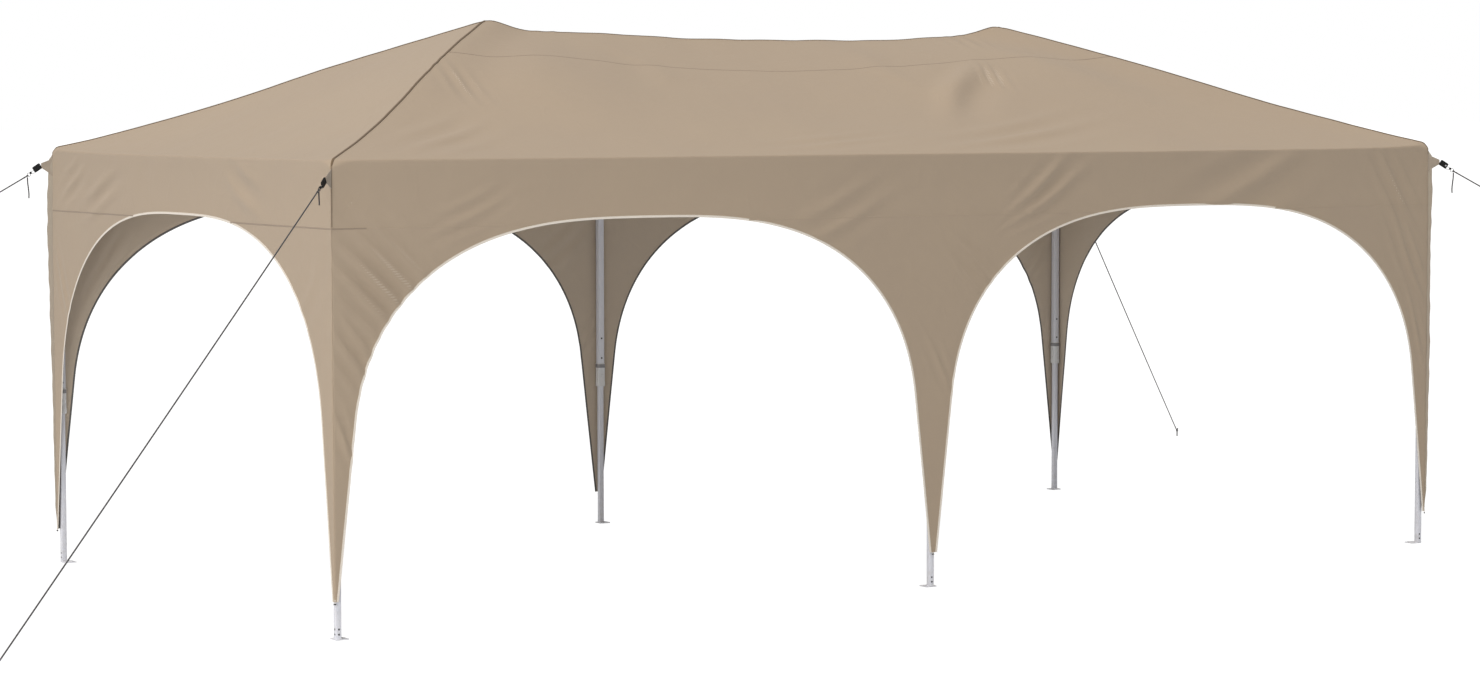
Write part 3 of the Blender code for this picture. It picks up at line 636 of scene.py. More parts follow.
class Finishes:
    """Every finish of the tent, made once from the node groups that they share."""

    def __init__(self) -> None:
        """Make the shared groups and the materials."""
        colour = (0.5, 0.5, 0.5, 1.0)
        self.cloud = make_group("soft_cloud", {"Place": None, "Colour": colour, "Strength": 0.1}, soft_cloud)
        self.weave = make_group("plain_weave", {"Pattern": None, "Thread": 0.001}, plain_weave)
        self.crinkle = make_group("packed_crinkle", {"Place": None, "Depth": 0.0005}, packed_crinkle)
        self.stitch = make_group("stitch_row", {"Pattern": None, "Line": 0.0, "Pitch": 0.004}, stitch_row)
        self.dust = make_group("ground_dust", {"Place": None, "Amount": 0.5}, ground_dust)
        tape, hard, dusty = self.make_tape, self.make_hard, (0.38, 0.34, 0.28)
        self.cloth = self.make_cloth("tan_cloth", (0.318, 0.248, 0.177), 0.80, 0.10)
        # The inside face is the same cloth made lighter than the outside: painted light for the light that comes
        # through the cloth.
        self.painted_light_lining = self.make_cloth("tan_cloth_inside_painted_light", (0.435, 0.360, 0.278), 0.62, 0.05)
        self.piping = tape("brown_piping", (0.125, 0.086, 0.050), (0.15, 0.105, 0.07), (0.0015,), shine=0.12)
        self.binding = tape("pale_binding", (0.62, 0.565, 0.49), (0.40, 0.35, 0.28), (0.003,))
        # The binding's inside face is the same tape painted dark: painted shade.
        self.binding_painted_shade_inside = tape("binding_inside_painted_shade", (0.10, 0.095, 0.09), (0.05, 0.045, 0.04), (0.003,))
        self.seam = tape("tan_seam", (0.245, 0.185, 0.130), (0.18, 0.135, 0.095), (0.0012, 0.0048), 0.0035)
        self.webbing = tape("brown_webbing", (0.255, 0.210, 0.162), (0.14, 0.11, 0.08), (0.004,), 0.003, 0.0018)
        self.strip = tape("grey_seam_strip", (0.290, 0.245, 0.190), (0.22, 0.185, 0.14), (0.006,), 0.004, 0.0014)
        self.rope = self.make_rope("dark_braided_rope", (0.030, 0.026, 0.026), (0.010, 0.009, 0.009))
        self.steel = hard("white_powder_coat", (0.58, 0.585, 0.625), dusty, (0.42, 0.43, 0.45), 0.38, coat=0.1)
        self.plastic = hard(
            "pale_moulded_plastic", (0.58,) * 3, dusty, (0.70,) * 3, 0.5, dust=0.3, grain_size=0.0008
        )
        self.black_plastic = hard(
            "black_plastic", (0.006,) * 3, (0.03, 0.027, 0.025), (0.03,) * 3, 0.5, dust=0.1, shine=0.15
        )
        self.grey_plastic = hard("grey_moulded_ring", (0.22, 0.215, 0.22), dusty, (0.34,) * 3, 0.5, dust=0.2)
        self.wire = hard("zinc_wire", (0.50,) * 3, dusty, (0.72,) * 3, 0.32, metal=1.0, dust=0.1)
        dark, earthy, scraped = (0.035, 0.035, 0.037), (0.16, 0.13, 0.10), (0.20, 0.20, 0.21)
        self.dark_steel = hard("dark_peg_steel", dark, earthy, scraped, 0.45, metal=0.6, dust=0.5)
        # Flat dark discs put where holes are: painted shade for the inside of the holes.
        self.hole = hard("hole_painted_shade", (0.03, 0.03, 0.032), (0.07, 0.06, 0.05), (0.08,) * 3, 0.7, dust=0.2)

    def start(self, name: str, colour: Colour, strength: float) -> tuple[MaterialBench, dict]:
        """Start a material, and return its bench and its clouded colour."""
        bench = MaterialBench(name)
        return bench, bench.group(self.cloud, Place=bench.place, Colour=rgba(colour), Strength=strength)

    def make_cloth(self, name: str, colour: Colour, roughness: float, sheen: float) -> Material:
        """Return coated woven polyester, with its weave, soft colour variation and fine creases.

        Args:
            name: The material's name.
            colour: Its colour.
            roughness: Its mean roughness.
            sheen: How much its threads glow at a low angle.

        Returns:
            The material.
        """
        thread, crease = 0.0016, 0.0010
        bench, cloud = self.start(name, colour, 0.10)
        weave = bench.group(self.weave, Pattern=bench.pattern, Thread=thread)
        crinkle = bench.group(self.crinkle, Place=bench.place, Depth=crease)
        height = bench.math("MULTIPLY_ADD", weave["Height"], thread * 0.02, crinkle["Height"])
        # Darker by 6 % in the gaps between the threads: painted shade.
        shade = bench.scale(weave["Gap"], 0.0, 1.0, 1.0, 0.94)
        return bench.close({
            "Base Color": bench.blend(1.0, cloud["Colour"], shade, "MULTIPLY"),
            "Roughness": bench.scale(cloud["Mask"], 0.3, 0.7, roughness - 0.04, roughness + 0.04),
            "Normal": bench.bump(height),
            "Sheen Weight": sheen,
            "Sheen Roughness": 0.5,
            "Specular IOR Level": 0.3,
        })

    def make_tape(
        self,
        name: str,
        colour: Colour,
        thread_colour: Colour,
        lines: tuple[float, ...],
        pitch: float = 0.004,
        rib: float = 0.0012,
        shine: float = 0.5,
    ) -> Material:
        """Return woven tape or welt, ribbed across, with rows of stitches along it.

        Args:
            name: The material's name.
            colour: Its colour.
            thread_colour: The stitches' colour.
            lines: Where the rows of stitches lie on it.
            pitch: The length of a stitch with its gap.
            rib: The distance from rib to rib.
            shine: The strength of its highlights.

        Returns:
            The material.
        """
        bench, cloud = self.start(name, colour, 0.16)
        ribs = bench.math("SINE", bench.math("MULTIPLY", bench.split(bench.pattern)[0], 2.0 * pi / rib))
        mask: object = 0.0
        for line in lines:
            row = bench.group(self.stitch, Pattern=bench.pattern, Line=line, Pitch=pitch)
            mask = bench.math("MAXIMUM", mask, row["Mask"])
        height = bench.math("MULTIPLY_ADD", ribs, 0.00003, bench.math("MULTIPLY", mask, 0.0003))
        return bench.close({
            "Base Color": bench.blend(mask, cloud["Colour"], rgba(thread_colour)),
            "Roughness": bench.scale(cloud["Mask"], 0.3, 0.7, 0.70, 0.80),
            "Normal": bench.bump(height, 0.8),
            "Sheen Weight": 0.1,
            "Specular IOR Level": shine,
        })

    def make_rope(self, name: str, colour: Colour, dark: Colour, lay: float = 0.012) -> Material:
        """Return braided rope: four strands each way that cross round it once in a lay.

        Args:
            name: The material's name.
            colour: Its colour.
            dark: The colour between its strands, painted shade in the grooves.
            lay: The length in which a strand goes round once.

        Returns:
            The material.
        """
        strands, girth = 4.0, 2.0 * pi * 0.002
        bench, cloud = self.start(name, colour, 0.3)
        split = bench.split(bench.pattern)
        turns = [bench.math("MULTIPLY", split[i], 2.0 * pi * strands / size) for i, size in enumerate((lay, girth))]
        halves = (bench.math("MULTIPLY", bench.math(how, *turns), 0.5) for how in ("ADD", "SUBTRACT"))
        strand = bench.math("MULTIPLY", *(bench.math("ABSOLUTE", bench.math("SINE", half)) for half in halves))
        return bench.close({
            # Darker between the strands: painted shade in the grooves.
            "Base Color": bench.blend(bench.scale(strand, 0.05, 0.5, 0.0, 1.0), rgba(dark), cloud["Colour"]),
            "Roughness": 0.85,
            "Normal": bench.bump(bench.math("MULTIPLY", strand, 0.0004)),
            "Sheen Weight": 0.2,
        })

    def make_hard(
        self,
        name: str,
        colour: Colour,
        dusty: Colour,
        scuffed: Colour,
        roughness: float,
        metal: float = 0.0,
        dust: float = 0.35,
        grain_size: float = 0.0015,
        coat: float = 0.0,
        shine: float = 0.5,
    ) -> Material:
        """Return powder coat, plastic or metal, duller where dusty and brighter where scuffed.

        Args:
            name: The material's name.
            colour: Its colour.
            dusty: Its colour under dust.
            scuffed: Its colour where scuffed.
            roughness: Its roughness where clean.
            metal: How metallic it is.
            dust: How dusty it is.
            grain_size: The size of its fine grain.
            coat: The weight of its clear coat.
            shine: The strength of its highlights.

        Returns:
            The material.
        """
        bench, cloud = self.start(name, colour, 0.08)
        marks = bench.group(self.dust, Place=bench.place, Amount=dust)
        worn = bench.math("MULTIPLY", marks["Scuff"], 0.2)
        clean = bench.blend(worn, cloud["Colour"], rgba(scuffed))
        rough = bench.math("MULTIPLY_ADD", marks["Mask"], 0.35, bench.math("MULTIPLY_ADD", worn, 0.1, roughness))
        return bench.close({
            "Base Color": bench.blend(marks["Mask"], clean, rgba(dusty)),
            "Roughness": rough,
            "Normal": bench.bump(bench.math("MULTIPLY", bench.noise(bench.place, grain_size), 0.00003)),
            "Metallic": metal,
            "Specular IOR Level": shine,
            "Coat Weight": coat,
        })


# The cover's shape


@dataclass(frozen=True)
class CoverSizes:
    """The sizes of the cover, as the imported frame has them, and its sharp shape."""

    half_length: float = 3.0
    half_width: float = 1.51
    eave: float = 1.965
    corner_lift: float = 0.02
    corner_reach: float = 0.25
    peak_x: float = 1.475
    peak: float = 2.575
    hip_bends: tuple[tuple[float, float], ...] = ((0.010, 0.017), (0.008, 0.010), (0.022, 0.011), (0.014, 0.010))
    slumps: tuple[float, ...] = (0.0352, -0.0030, -0.0113, -0.0209, 0.0011, 0.0282, 0.0399)
    seam: float = 1.685
    crown: float = 1.705
    tip: float = 0.16
    tip_half: float = 0.019
    taper: float = 0.117
    bend_low: float = 0.87
    bend_rise: float = 0.835
    half_bay: float = 1.5
    thickness: float = 0.001

    @property
    def corner_runs(self) -> Array:
        """The distance round the walls of each corner, from the front left one back to it."""
        long, short = 2.0 * self.half_length, 2.0 * self.half_width
        return np.cumsum([0.0, long, short, long, short])

    @property
    def legs(self) -> dict[str, float]:
        """The distance round the walls of each leg.

        Returns:
            The distances by the legs' names.
        """
        _, right, back_right, back_left, _ = self.corner_runs.tolist()
        middles = self.half_length, back_right + self.half_length
        names = ("front_left", "front_middle", "front_right", "back_right", "back_middle", "back_left")
        return dict(zip(names, (0.0, middles[0], right, back_right, middles[1], back_left)))

    def wall_line(self, run: Array, z: object) -> Array:
        """Return the points at distances round the walls and at the given heights.

        Args:
            run: Distances from the front left corner.
            z: Their heights.

        Returns:
            One point for each.
        """
        x, y = self.half_length * np.array([-1, 1, 1, -1, -1]), self.half_width * np.array([-1, -1, 1, 1, -1])
        along = np.mod(run, self.corner_runs[-1])
        return spread(np.interp(along, self.corner_runs, x), np.interp(along, self.corner_runs, y), z)

    def hip_x(self, v: Array) -> Array:
        """Return how far a hip is from the middle along X, at share v of the way up."""
        return self.half_length - (self.half_length - self.peak_x) * v

    def hip_y(self, v: Array) -> Array:
        """Return how far a hip is from the middle along Y, at share v of the way up."""
        return self.half_width * (1.0 - v)

    def lift_at(self, x: Array, y: Array) -> Array:
        """Return the nearest corner's lift above the eave's middle, none at the front left."""
        return np.where((x < 0.0) & (y < 0.0), 0.0, self.corner_lift)

    def eave_at(self, x: Array, y: Array) -> Array:
        """Return the eave's height: its middle height plus a lift that dies away from the corner."""
        from_corner = np.maximum(self.half_length - np.abs(x), self.half_width - np.abs(y))
        return self.eave + self.lift_at(x, y) * np.exp(-np.clip(from_corner, 0.0, None) / self.corner_reach)

    def hip_bend(self, v: Array, u: Array, first: Array, second: Array) -> Array:
        """Return what the hips' bends add to a slope: minus a half and a full sine wave of v.

        Args:
            v: Share of the way up the slope.
            u: Place across it, -1 at the first corner's hip and 1 at the second's.
            first: The first corner's row of hip_bends: how deep its half and full waves are.
            second: The second corner's row.

        Returns:
            One height for each point.
        """
        table, share = np.array(self.hip_bends), (1.0 - u) / 2.0
        sag, swing = (table[first, part] * share + table[second, part] * (1.0 - share) for part in (0, 1))
        return -sag * np.sqrt(np.sin(pi * np.clip(v, 0.0, 1.0))) - swing * np.sin(2.0 * pi * v)

    def ridge_at(self, x: Array) -> Array:
        """Return the ridge's height: a quick drop beside each peak, then a slow one to the middle.

        Args:
            x: Places along the ridge.

        Returns:
            One height for each place.
        """
        off = np.clip(self.peak_x - np.abs(x), 0.0, None)
        slow = ease(np.where(x < 0.0, (off - 0.38) / 0.85, (off - 0.20) / 0.60))
        waver = 0.0012 * np.sin(2.0 * pi * x / 0.31) * ease(off / 0.3)
        return self.peak - 0.053 * (1.0 - bell(off, 0.155)) - 0.026 * slow + waver

    def slump(self, x: Array, v: Array, u: Array) -> Array:
        """Return what the long slopes' slack cloth adds: fuller beside the peaks, low in the middle."""
        rise = sum(size * bell(x + 1.5 - 0.5 * place, 0.38) for place, size in enumerate(self.slumps))
        return rise * np.sin(pi * v**1.7) * ease((1.0 - np.abs(u)) / 0.3)

    def long_slope(self, x: Array, y: Array, v: Array) -> Array:
        """Return the height of a long slope at x, on the side of y, and share v of the way up.

        Args:
            x: Places along the slope.
            y: The side, below 0 at the front.
            v: Shares of the way up.

        Returns:
            One height for each point.
        """
        u = np.clip(x / np.maximum(self.hip_x(v), 1e-9), -1.0, 1.0)
        eave = self.eave_at(self.half_length * u, np.copysign(self.half_width, y))
        row = np.where(y < 0.0, 0, 2)
        straight = (1.0 - v) * eave + v * self.ridge_at(self.peak_x * u)
        return straight + self.hip_bend(v, u, row, row + 1) + self.slump(x, v, u)

    def end_slope(self, x: Array, y: Array, v: Array) -> Array:
        """Return the height of an end slope at y, on the side of x, and share v of the way up.

        Args:
            x: The side, below 0 at the left.
            y: Places across the slope.
            v: Shares of the way up.

        Returns:
            One height for each point.
        """
        u = np.clip(y / np.maximum(self.hip_y(v), 1e-9), -1.0, 1.0)
        eave = self.eave_at(np.copysign(self.half_length, x), self.half_width * u)
        row = np.where(x < 0.0, 0, 1)
        return (1.0 - v) * eave + v * self.peak + self.hip_bend(v, u, row, row + 2)

    def roof_at(self, x: Array, y: Array) -> tuple[Array, Array]:
        """Return the roof's height, a little rounded at the peaks, and the end slope's share.

        Args:
            x: Places along X.
            y: Places along Y.

        Returns:
            The heights, and the end slopes' shares in them.
        """
        v_long = 1.0 - np.abs(y) / self.half_width
        v_end = (self.half_length - np.abs(x)) / (self.half_length - self.peak_x)
        end, long = self.end_slope(x, y, np.clip(v_end, 0, 1)), self.long_slope(x, y, np.clip(v_long, 0, 1))
        height = np.where(v_end < v_long, end, long) - 0.005 * bell(np.hypot(np.abs(x) - self.peak_x, y), 0.03)
        return height, ease(0.5 + (v_long - v_end) / 0.05)

    def skirt_half(self, z: Array) -> Array:
        """Return a skirt's half width: a straight taper plus the arch's power curve.

        Args:
            z: Heights.

        Returns:
            One half width for each height.
        """
        share = np.clip((z - self.bend_low) / self.bend_rise, 0.0, 1.0)
        reach = self.half_bay - self.tip_half - self.taper * (self.crown - self.tip)
        return self.tip_half + self.taper * (z - self.tip) + reach * (1.0 - (1.0 - share**2.24) ** (1.0 / 2.95))


@dataclass(frozen=True)
class FoldGroup:
    """A few folds side by side on one face of the cover, placed along it and up it."""

    along: float
    up: float
    turn: float
    length: float
    width: float
    pitch: float
    depth: float
    shift: float
    fan: float = 0.0

    def height(self, along: Array, up: Array) -> Array:
        """Return the folds' height: a sharpened wave, mostly outward, in a long and narrow bell.

        Args:
            along: Distance along the face from its middle, to the right as seen from outside.
            up: Height on a wall, or the distance to the back on the roof.

        Returns:
            One height for each point.
        """
        right, rise = along - self.along, up - self.up
        c, s = cos(radians(self.turn)), sin(radians(self.turn))
        run, across = right * c + rise * s, rise * c - right * s
        fanned = across / np.clip(1.0 + self.fan * run / self.length, 0.3, None)
        phase = 2.0 * pi * fanned / self.pitch + self.shift + 0.5 * np.sin(run / self.length * 2.1 + self.shift)
        wave = 0.3 + np.cos(phase) + 0.12 * np.cos(2.0 * phase)
        return self.depth * wave * bell(run, self.length) * bell(across, self.width)

    def turned_round(self, roof: bool) -> FoldGroup:
        """Return the group for the opposite side, a little moved and weakened.

        Args:
            roof: Whether the group lies on the roof.

        Returns:
            The new group.
        """
        along, up = (-self.along * 0.95, -self.up) if roof else (self.along * 0.94, self.up)
        size = self.length * 1.08, self.width, self.pitch * 1.1, self.depth * 0.9
        return FoldGroup(along, up, self.turn + 4.0, *size, self.shift + 1.7, self.fan)


FRONT_FOLDS = (
    (-2.77, 1.45, -40, 0.22, 0.17, 0.086, 0.0130, 0.4),
    (-2.87, 1.14, -50, 0.20, 0.09, 0.078, 0.0110, 1.9),
    (-2.93, 0.80, -64, 0.18, 0.05, 0.064, 0.0066, 0.9),
    (-2.95, 1.80, 58, 0.045, 0.10, 0.028, 0.0016, 0.0),
    (-2.36, 1.74, 24, 0.16, 0.08, 0.070, 0.0034, 1.0),
    (-0.50, 1.70, 24, 0.24, 0.12, 0.110, 0.0040, 2.0),
    (0.23, 1.46, -42, 0.18, 0.10, 0.080, 0.0058, 0.0),
    (0.06, 0.98, -60, 0.16, 0.05, 0.060, 0.0042, 1.0),
    (0.66, 1.81, 33, 0.20, 0.09, 0.095, 0.0080, 2.6, 0.3),
    (1.85, 1.84, 28, 0.34, 0.20, 0.200, 0.0080, 0.7),
    (2.78, 1.78, -56, 0.26, 0.11, 0.085, 0.0062, 0.3),
    (2.88, 1.42, -64, 0.24, 0.08, 0.070, 0.0048, 1.3),
    (2.93, 1.05, -72, 0.20, 0.05, 0.056, 0.0032, 0.2),
)
LEFT_FOLDS = (
    (-0.90, 1.77, 19, 0.20, 0.07, 0.110, 0.0080, 3.0),
    (-1.25, 1.82, 30, 0.14, 0.08, 0.080, 0.0046, 0.0),
    (0.68, 1.83, -25, 0.16, 0.08, 0.140, 0.0076, 2.4),
    (1.25, 1.38, 52, 0.18, 0.14, 0.120, 0.0018, 0.5),
    (-1.36, 1.30, -64, 0.20, 0.07, 0.070, 0.0030, 0.5),
)
ROOF_FOLDS = (
    (-1.96, -0.67, 86, 0.17, 0.10, 0.075, 0.0044, 0.0),
    (-2.32, -1.22, 33, 0.24, 0.13, 0.130, 0.0064, 0.5),
    (-0.90, -0.42, 88, 0.16, 0.14, 0.360, 0.0060, 1.6),
    (0.55, -0.42, 88, 0.16, 0.14, 0.360, 0.0060, 4.4),
    (0.74, -0.74, 45, 0.30, 0.13, 0.330, 0.0300, -1.1),
    (1.00, -0.60, 70, 0.13, 0.08, 0.060, 0.0056, 0.0),
    (0.70, -1.24, 17, 0.42, 0.13, 0.150, 0.0086, 1.0),
    (-0.40, -1.30, 12, 0.30, 0.09, 0.110, 0.0042, 2.2),
    (1.20, -0.12, 84, 0.10, 0.10, 0.080, 0.0040, 0.6),
)
FRONT, LEFT, ROOF = ([FoldGroup(*row) for row in rows] for rows in (FRONT_FOLDS, LEFT_FOLDS, ROOF_FOLDS))
FOLDS = {
    "front": FRONT,
    "back": [group.turned_round(False) for group in FRONT],
    "left": LEFT,
    "right": [group.turned_round(False) for group in LEFT],
    "roof": ROOF + [group.turned_round(True) for group in ROOF],
}


@dataclass(frozen=True)
class Swell:
    """Broad soft unevenness: a sum of slanting waves with seeded directions and phases."""

    seed: int
    height: float
    count: int = 9
    longest: float = 1.1
    shortest: float = 0.16

    def at(self, along: Array, up: Array) -> Array:
        """Return the swell's height at each point, longer waves higher than short ones.

        Args:
            along: Distance along the face.
            up: Distance up it.

        Returns:
            One height for each point.
        """
        draw = np.random.default_rng(self.seed)
        lengths = np.geomspace(self.longest, self.shortest, self.count)
        turns, shifts = draw.uniform(0.0, 2.0 * pi, (2, self.count))
        total = np.zeros(np.shape(along))
        for length, turn, shift in zip(lengths, turns, shifts):
            phase = 2.0 * pi * (along * cos(turn) + up * sin(turn)) / length + shift
            total += (length / self.longest) * np.sin(phase)
        return self.height * total / self.count**0.5


@dataclass
class CoverShape:
    """Where the soft cloth lies: rounded corners and eaves, folds and swell."""

    sizes: CoverSizes = CoverSizes()
    wall_edge: float = 0.010
    eave_edge: float = 0.009
    corner_wall_edge: float = 0.018
    corner_eave_edge: float = 0.038
    corner_room: float = 0.050
    blend_room: float = 0.060
    slope: float = atan2(0.59, 1.51)
    leg_x: float = 2.975
    leg_clear: float = 0.0022
    wall_clear: float = 0.0100

    def soften(self, sharp: Array) -> tuple[Array, Array, Array]:
        """Move points from the sharp cover onto the soft one, by Newton's steps along the way out.

        Args:
            sharp: Points on the four slopes and four walls, in rows of three.

        Returns:
            The moved points, the outward directions, and for each point the shares of the end
            wall, the long wall and the roof.
        """
        s, side, (x, y, z) = self.sizes, np.sign(sharp[:, :2]), sharp.T
        off = np.stack([np.abs(x) - s.half_length, np.abs(y) - s.half_width, z - s.eave - s.lift_at(x, y)])
        corner = bell(np.linalg.norm(off, axis=0), self.corner_room)
        wall_reach = self.wall_edge + (self.corner_wall_edge - self.wall_edge) * corner
        eave_reach = self.eave_edge + (self.corner_eave_edge - self.eave_edge) * corner
        points = sharp.copy()
        for _ in range(7):
            value, outward, _ = self.skin(points, side, wall_reach, eave_reach)
            points -= (value / np.sum(outward**2, axis=1))[:, None] * outward
        _, outward, _ = self.skin(points, side, wall_reach, eave_reach)
        _, _, shares = self.skin(points, side, self.blend_room, self.blend_room)
        return points, unit(outward), shares

    def skin(
        self, points: Array, side: Array, wall_reach: object, eave_reach: object
    ) -> tuple[Array, Array, Array]:
        """Return how far points are outside the soft skin, the way out, and the shares.

        Args:
            points: The points, in rows of three.
            side: The signs of their first x and y.
            wall_reach: How near to each other two walls begin to blend.
            eave_reach: How near to each other wall and roof begin to blend.

        Returns:
            The distances, the ways out, and the shares of end wall, long wall and roof.
        """
        x, y, z = points.T
        roof, end_roof = self.sizes.roof_at(x, y)
        above = (z - roof) * cos(self.slope)
        wall, end_share = smooth_greater(
            np.abs(x) - self.sizes.half_length, np.abs(y) - self.sizes.half_width, wall_reach
        )
        value, wall_share = smooth_greater(wall, above, eave_reach)
        end, long, top = wall_share * end_share, wall_share * (1.0 - end_share), 1.0 - wall_share
        tilt = top * sin(self.slope)
        out_x, out_y = end + tilt * end_roof, long + tilt * (1.0 - end_roof)
        outward = spread(side[:, 0] * out_x, side[:, 1] * out_y, top * cos(self.slope))
        return value, outward, spread(end, long, top)

    def fold_height(self, points: Array, shares: Array) -> Array:
        """Return how far folds and swell lift the cloth at each point.

        Args:
            points: Points on the soft cover.
            shares: Their shares of end wall, long wall and roof.

        Returns:
            One height for each point.
        """
        x, y, z = points.T
        end, long, top = shares.T
        faces = {
            "front": (long * (y < 0), x, z),
            "back": (long * (y > 0), -x, z),
            "left": (end * (x < 0), -y, z),
            "right": (end * (x > 0), y, z),
            "roof": (top, x, y),
        }
        total = np.zeros(len(points))
        for number, (face, (share, along, up)) in enumerate(faces.items()):
            near = np.nonzero(share > 1e-4)[0]
            a, b, roof = along[near], up[near], face == "roof"
            height = Swell(11 + number, 0.0030 if roof else 0.0022).at(a, b)
            for group in FOLDS[face]:
                height = height + group.height(a, b)
            if not roof:
                long_wall = face in ("front", "back")
                height = self.held_off(height * self.at_arch(a, b, long_wall) + self.hollow(b), a, long_wall)
            total[near] += share[near] * height
        return total

    def at_arch(self, along: Array, z: Array, long_wall: bool) -> Array:
        """Return the share of the folds' height that is left near an arch, whose tape holds the edge.

        Args:
            along: Distance along the wall from its middle.
            z: Heights.
            long_wall: Whether the wall is a long one.

        Returns:
            One share for each point.
        """
        off = self.sizes.half_bay - np.abs(np.abs(along) - (1.5 if long_wall else 0.0))
        room = np.where(z < self.sizes.crown, self.sizes.skirt_half(z) - off, 1.0)
        return 0.35 + 0.65 * ease(room / 0.05)

    def hollow(self, z: Array) -> Array:
        """Return how the band draws in: half a sine wave from eave to arch, and a crease on top.

        Args:
            z: Heights.

        Returns:
            How far the cloth lies outward at each, below 0 where it draws in.
        """
        s = self.sizes
        below = np.clip(s.eave - z, 0.0, None)
        crease = -0.0026 * ease(below / 0.014) * np.exp(-below / 0.045)
        return crease - 0.0035 * np.sin(pi * np.clip(below / (s.eave - s.crown), 0.0, 1.0))

    def held_off(self, height: Array, along: Array, long_wall: bool) -> Array:
        """Return the height, kept from pressing the cloth into the legs and trusses.

        Args:
            height: How far the cloth lies outward.
            along: Distance along the wall from its middle.
            long_wall: Whether the wall is a long one.

        Returns:
            The heights, smoothly kept above their limit.
        """
        off = np.abs(np.abs(along) - (self.leg_x if long_wall else self.sizes.half_width))
        if long_wall:
            off = np.minimum(off, np.abs(along))
        limit = -self.wall_clear + (self.wall_clear - self.leg_clear) * bell(off, 0.09)
        return smooth_greater(height, limit, 0.002)[0]

    def lay(self, sharp: Array) -> tuple[Array, Array]:
        """Return the soft, folded place of each sharp point, and its outward direction.

        Args:
            sharp: Points on the sharp cover.

        Returns:
            The places and the directions.
        """
        points, outward, shares = self.soften(np.reshape(sharp, (-1, 3)))
        points += outward * self.fold_height(points, shares)[:, None]
        return points.reshape(np.shape(sharp)), outward.reshape(np.shape(sharp))


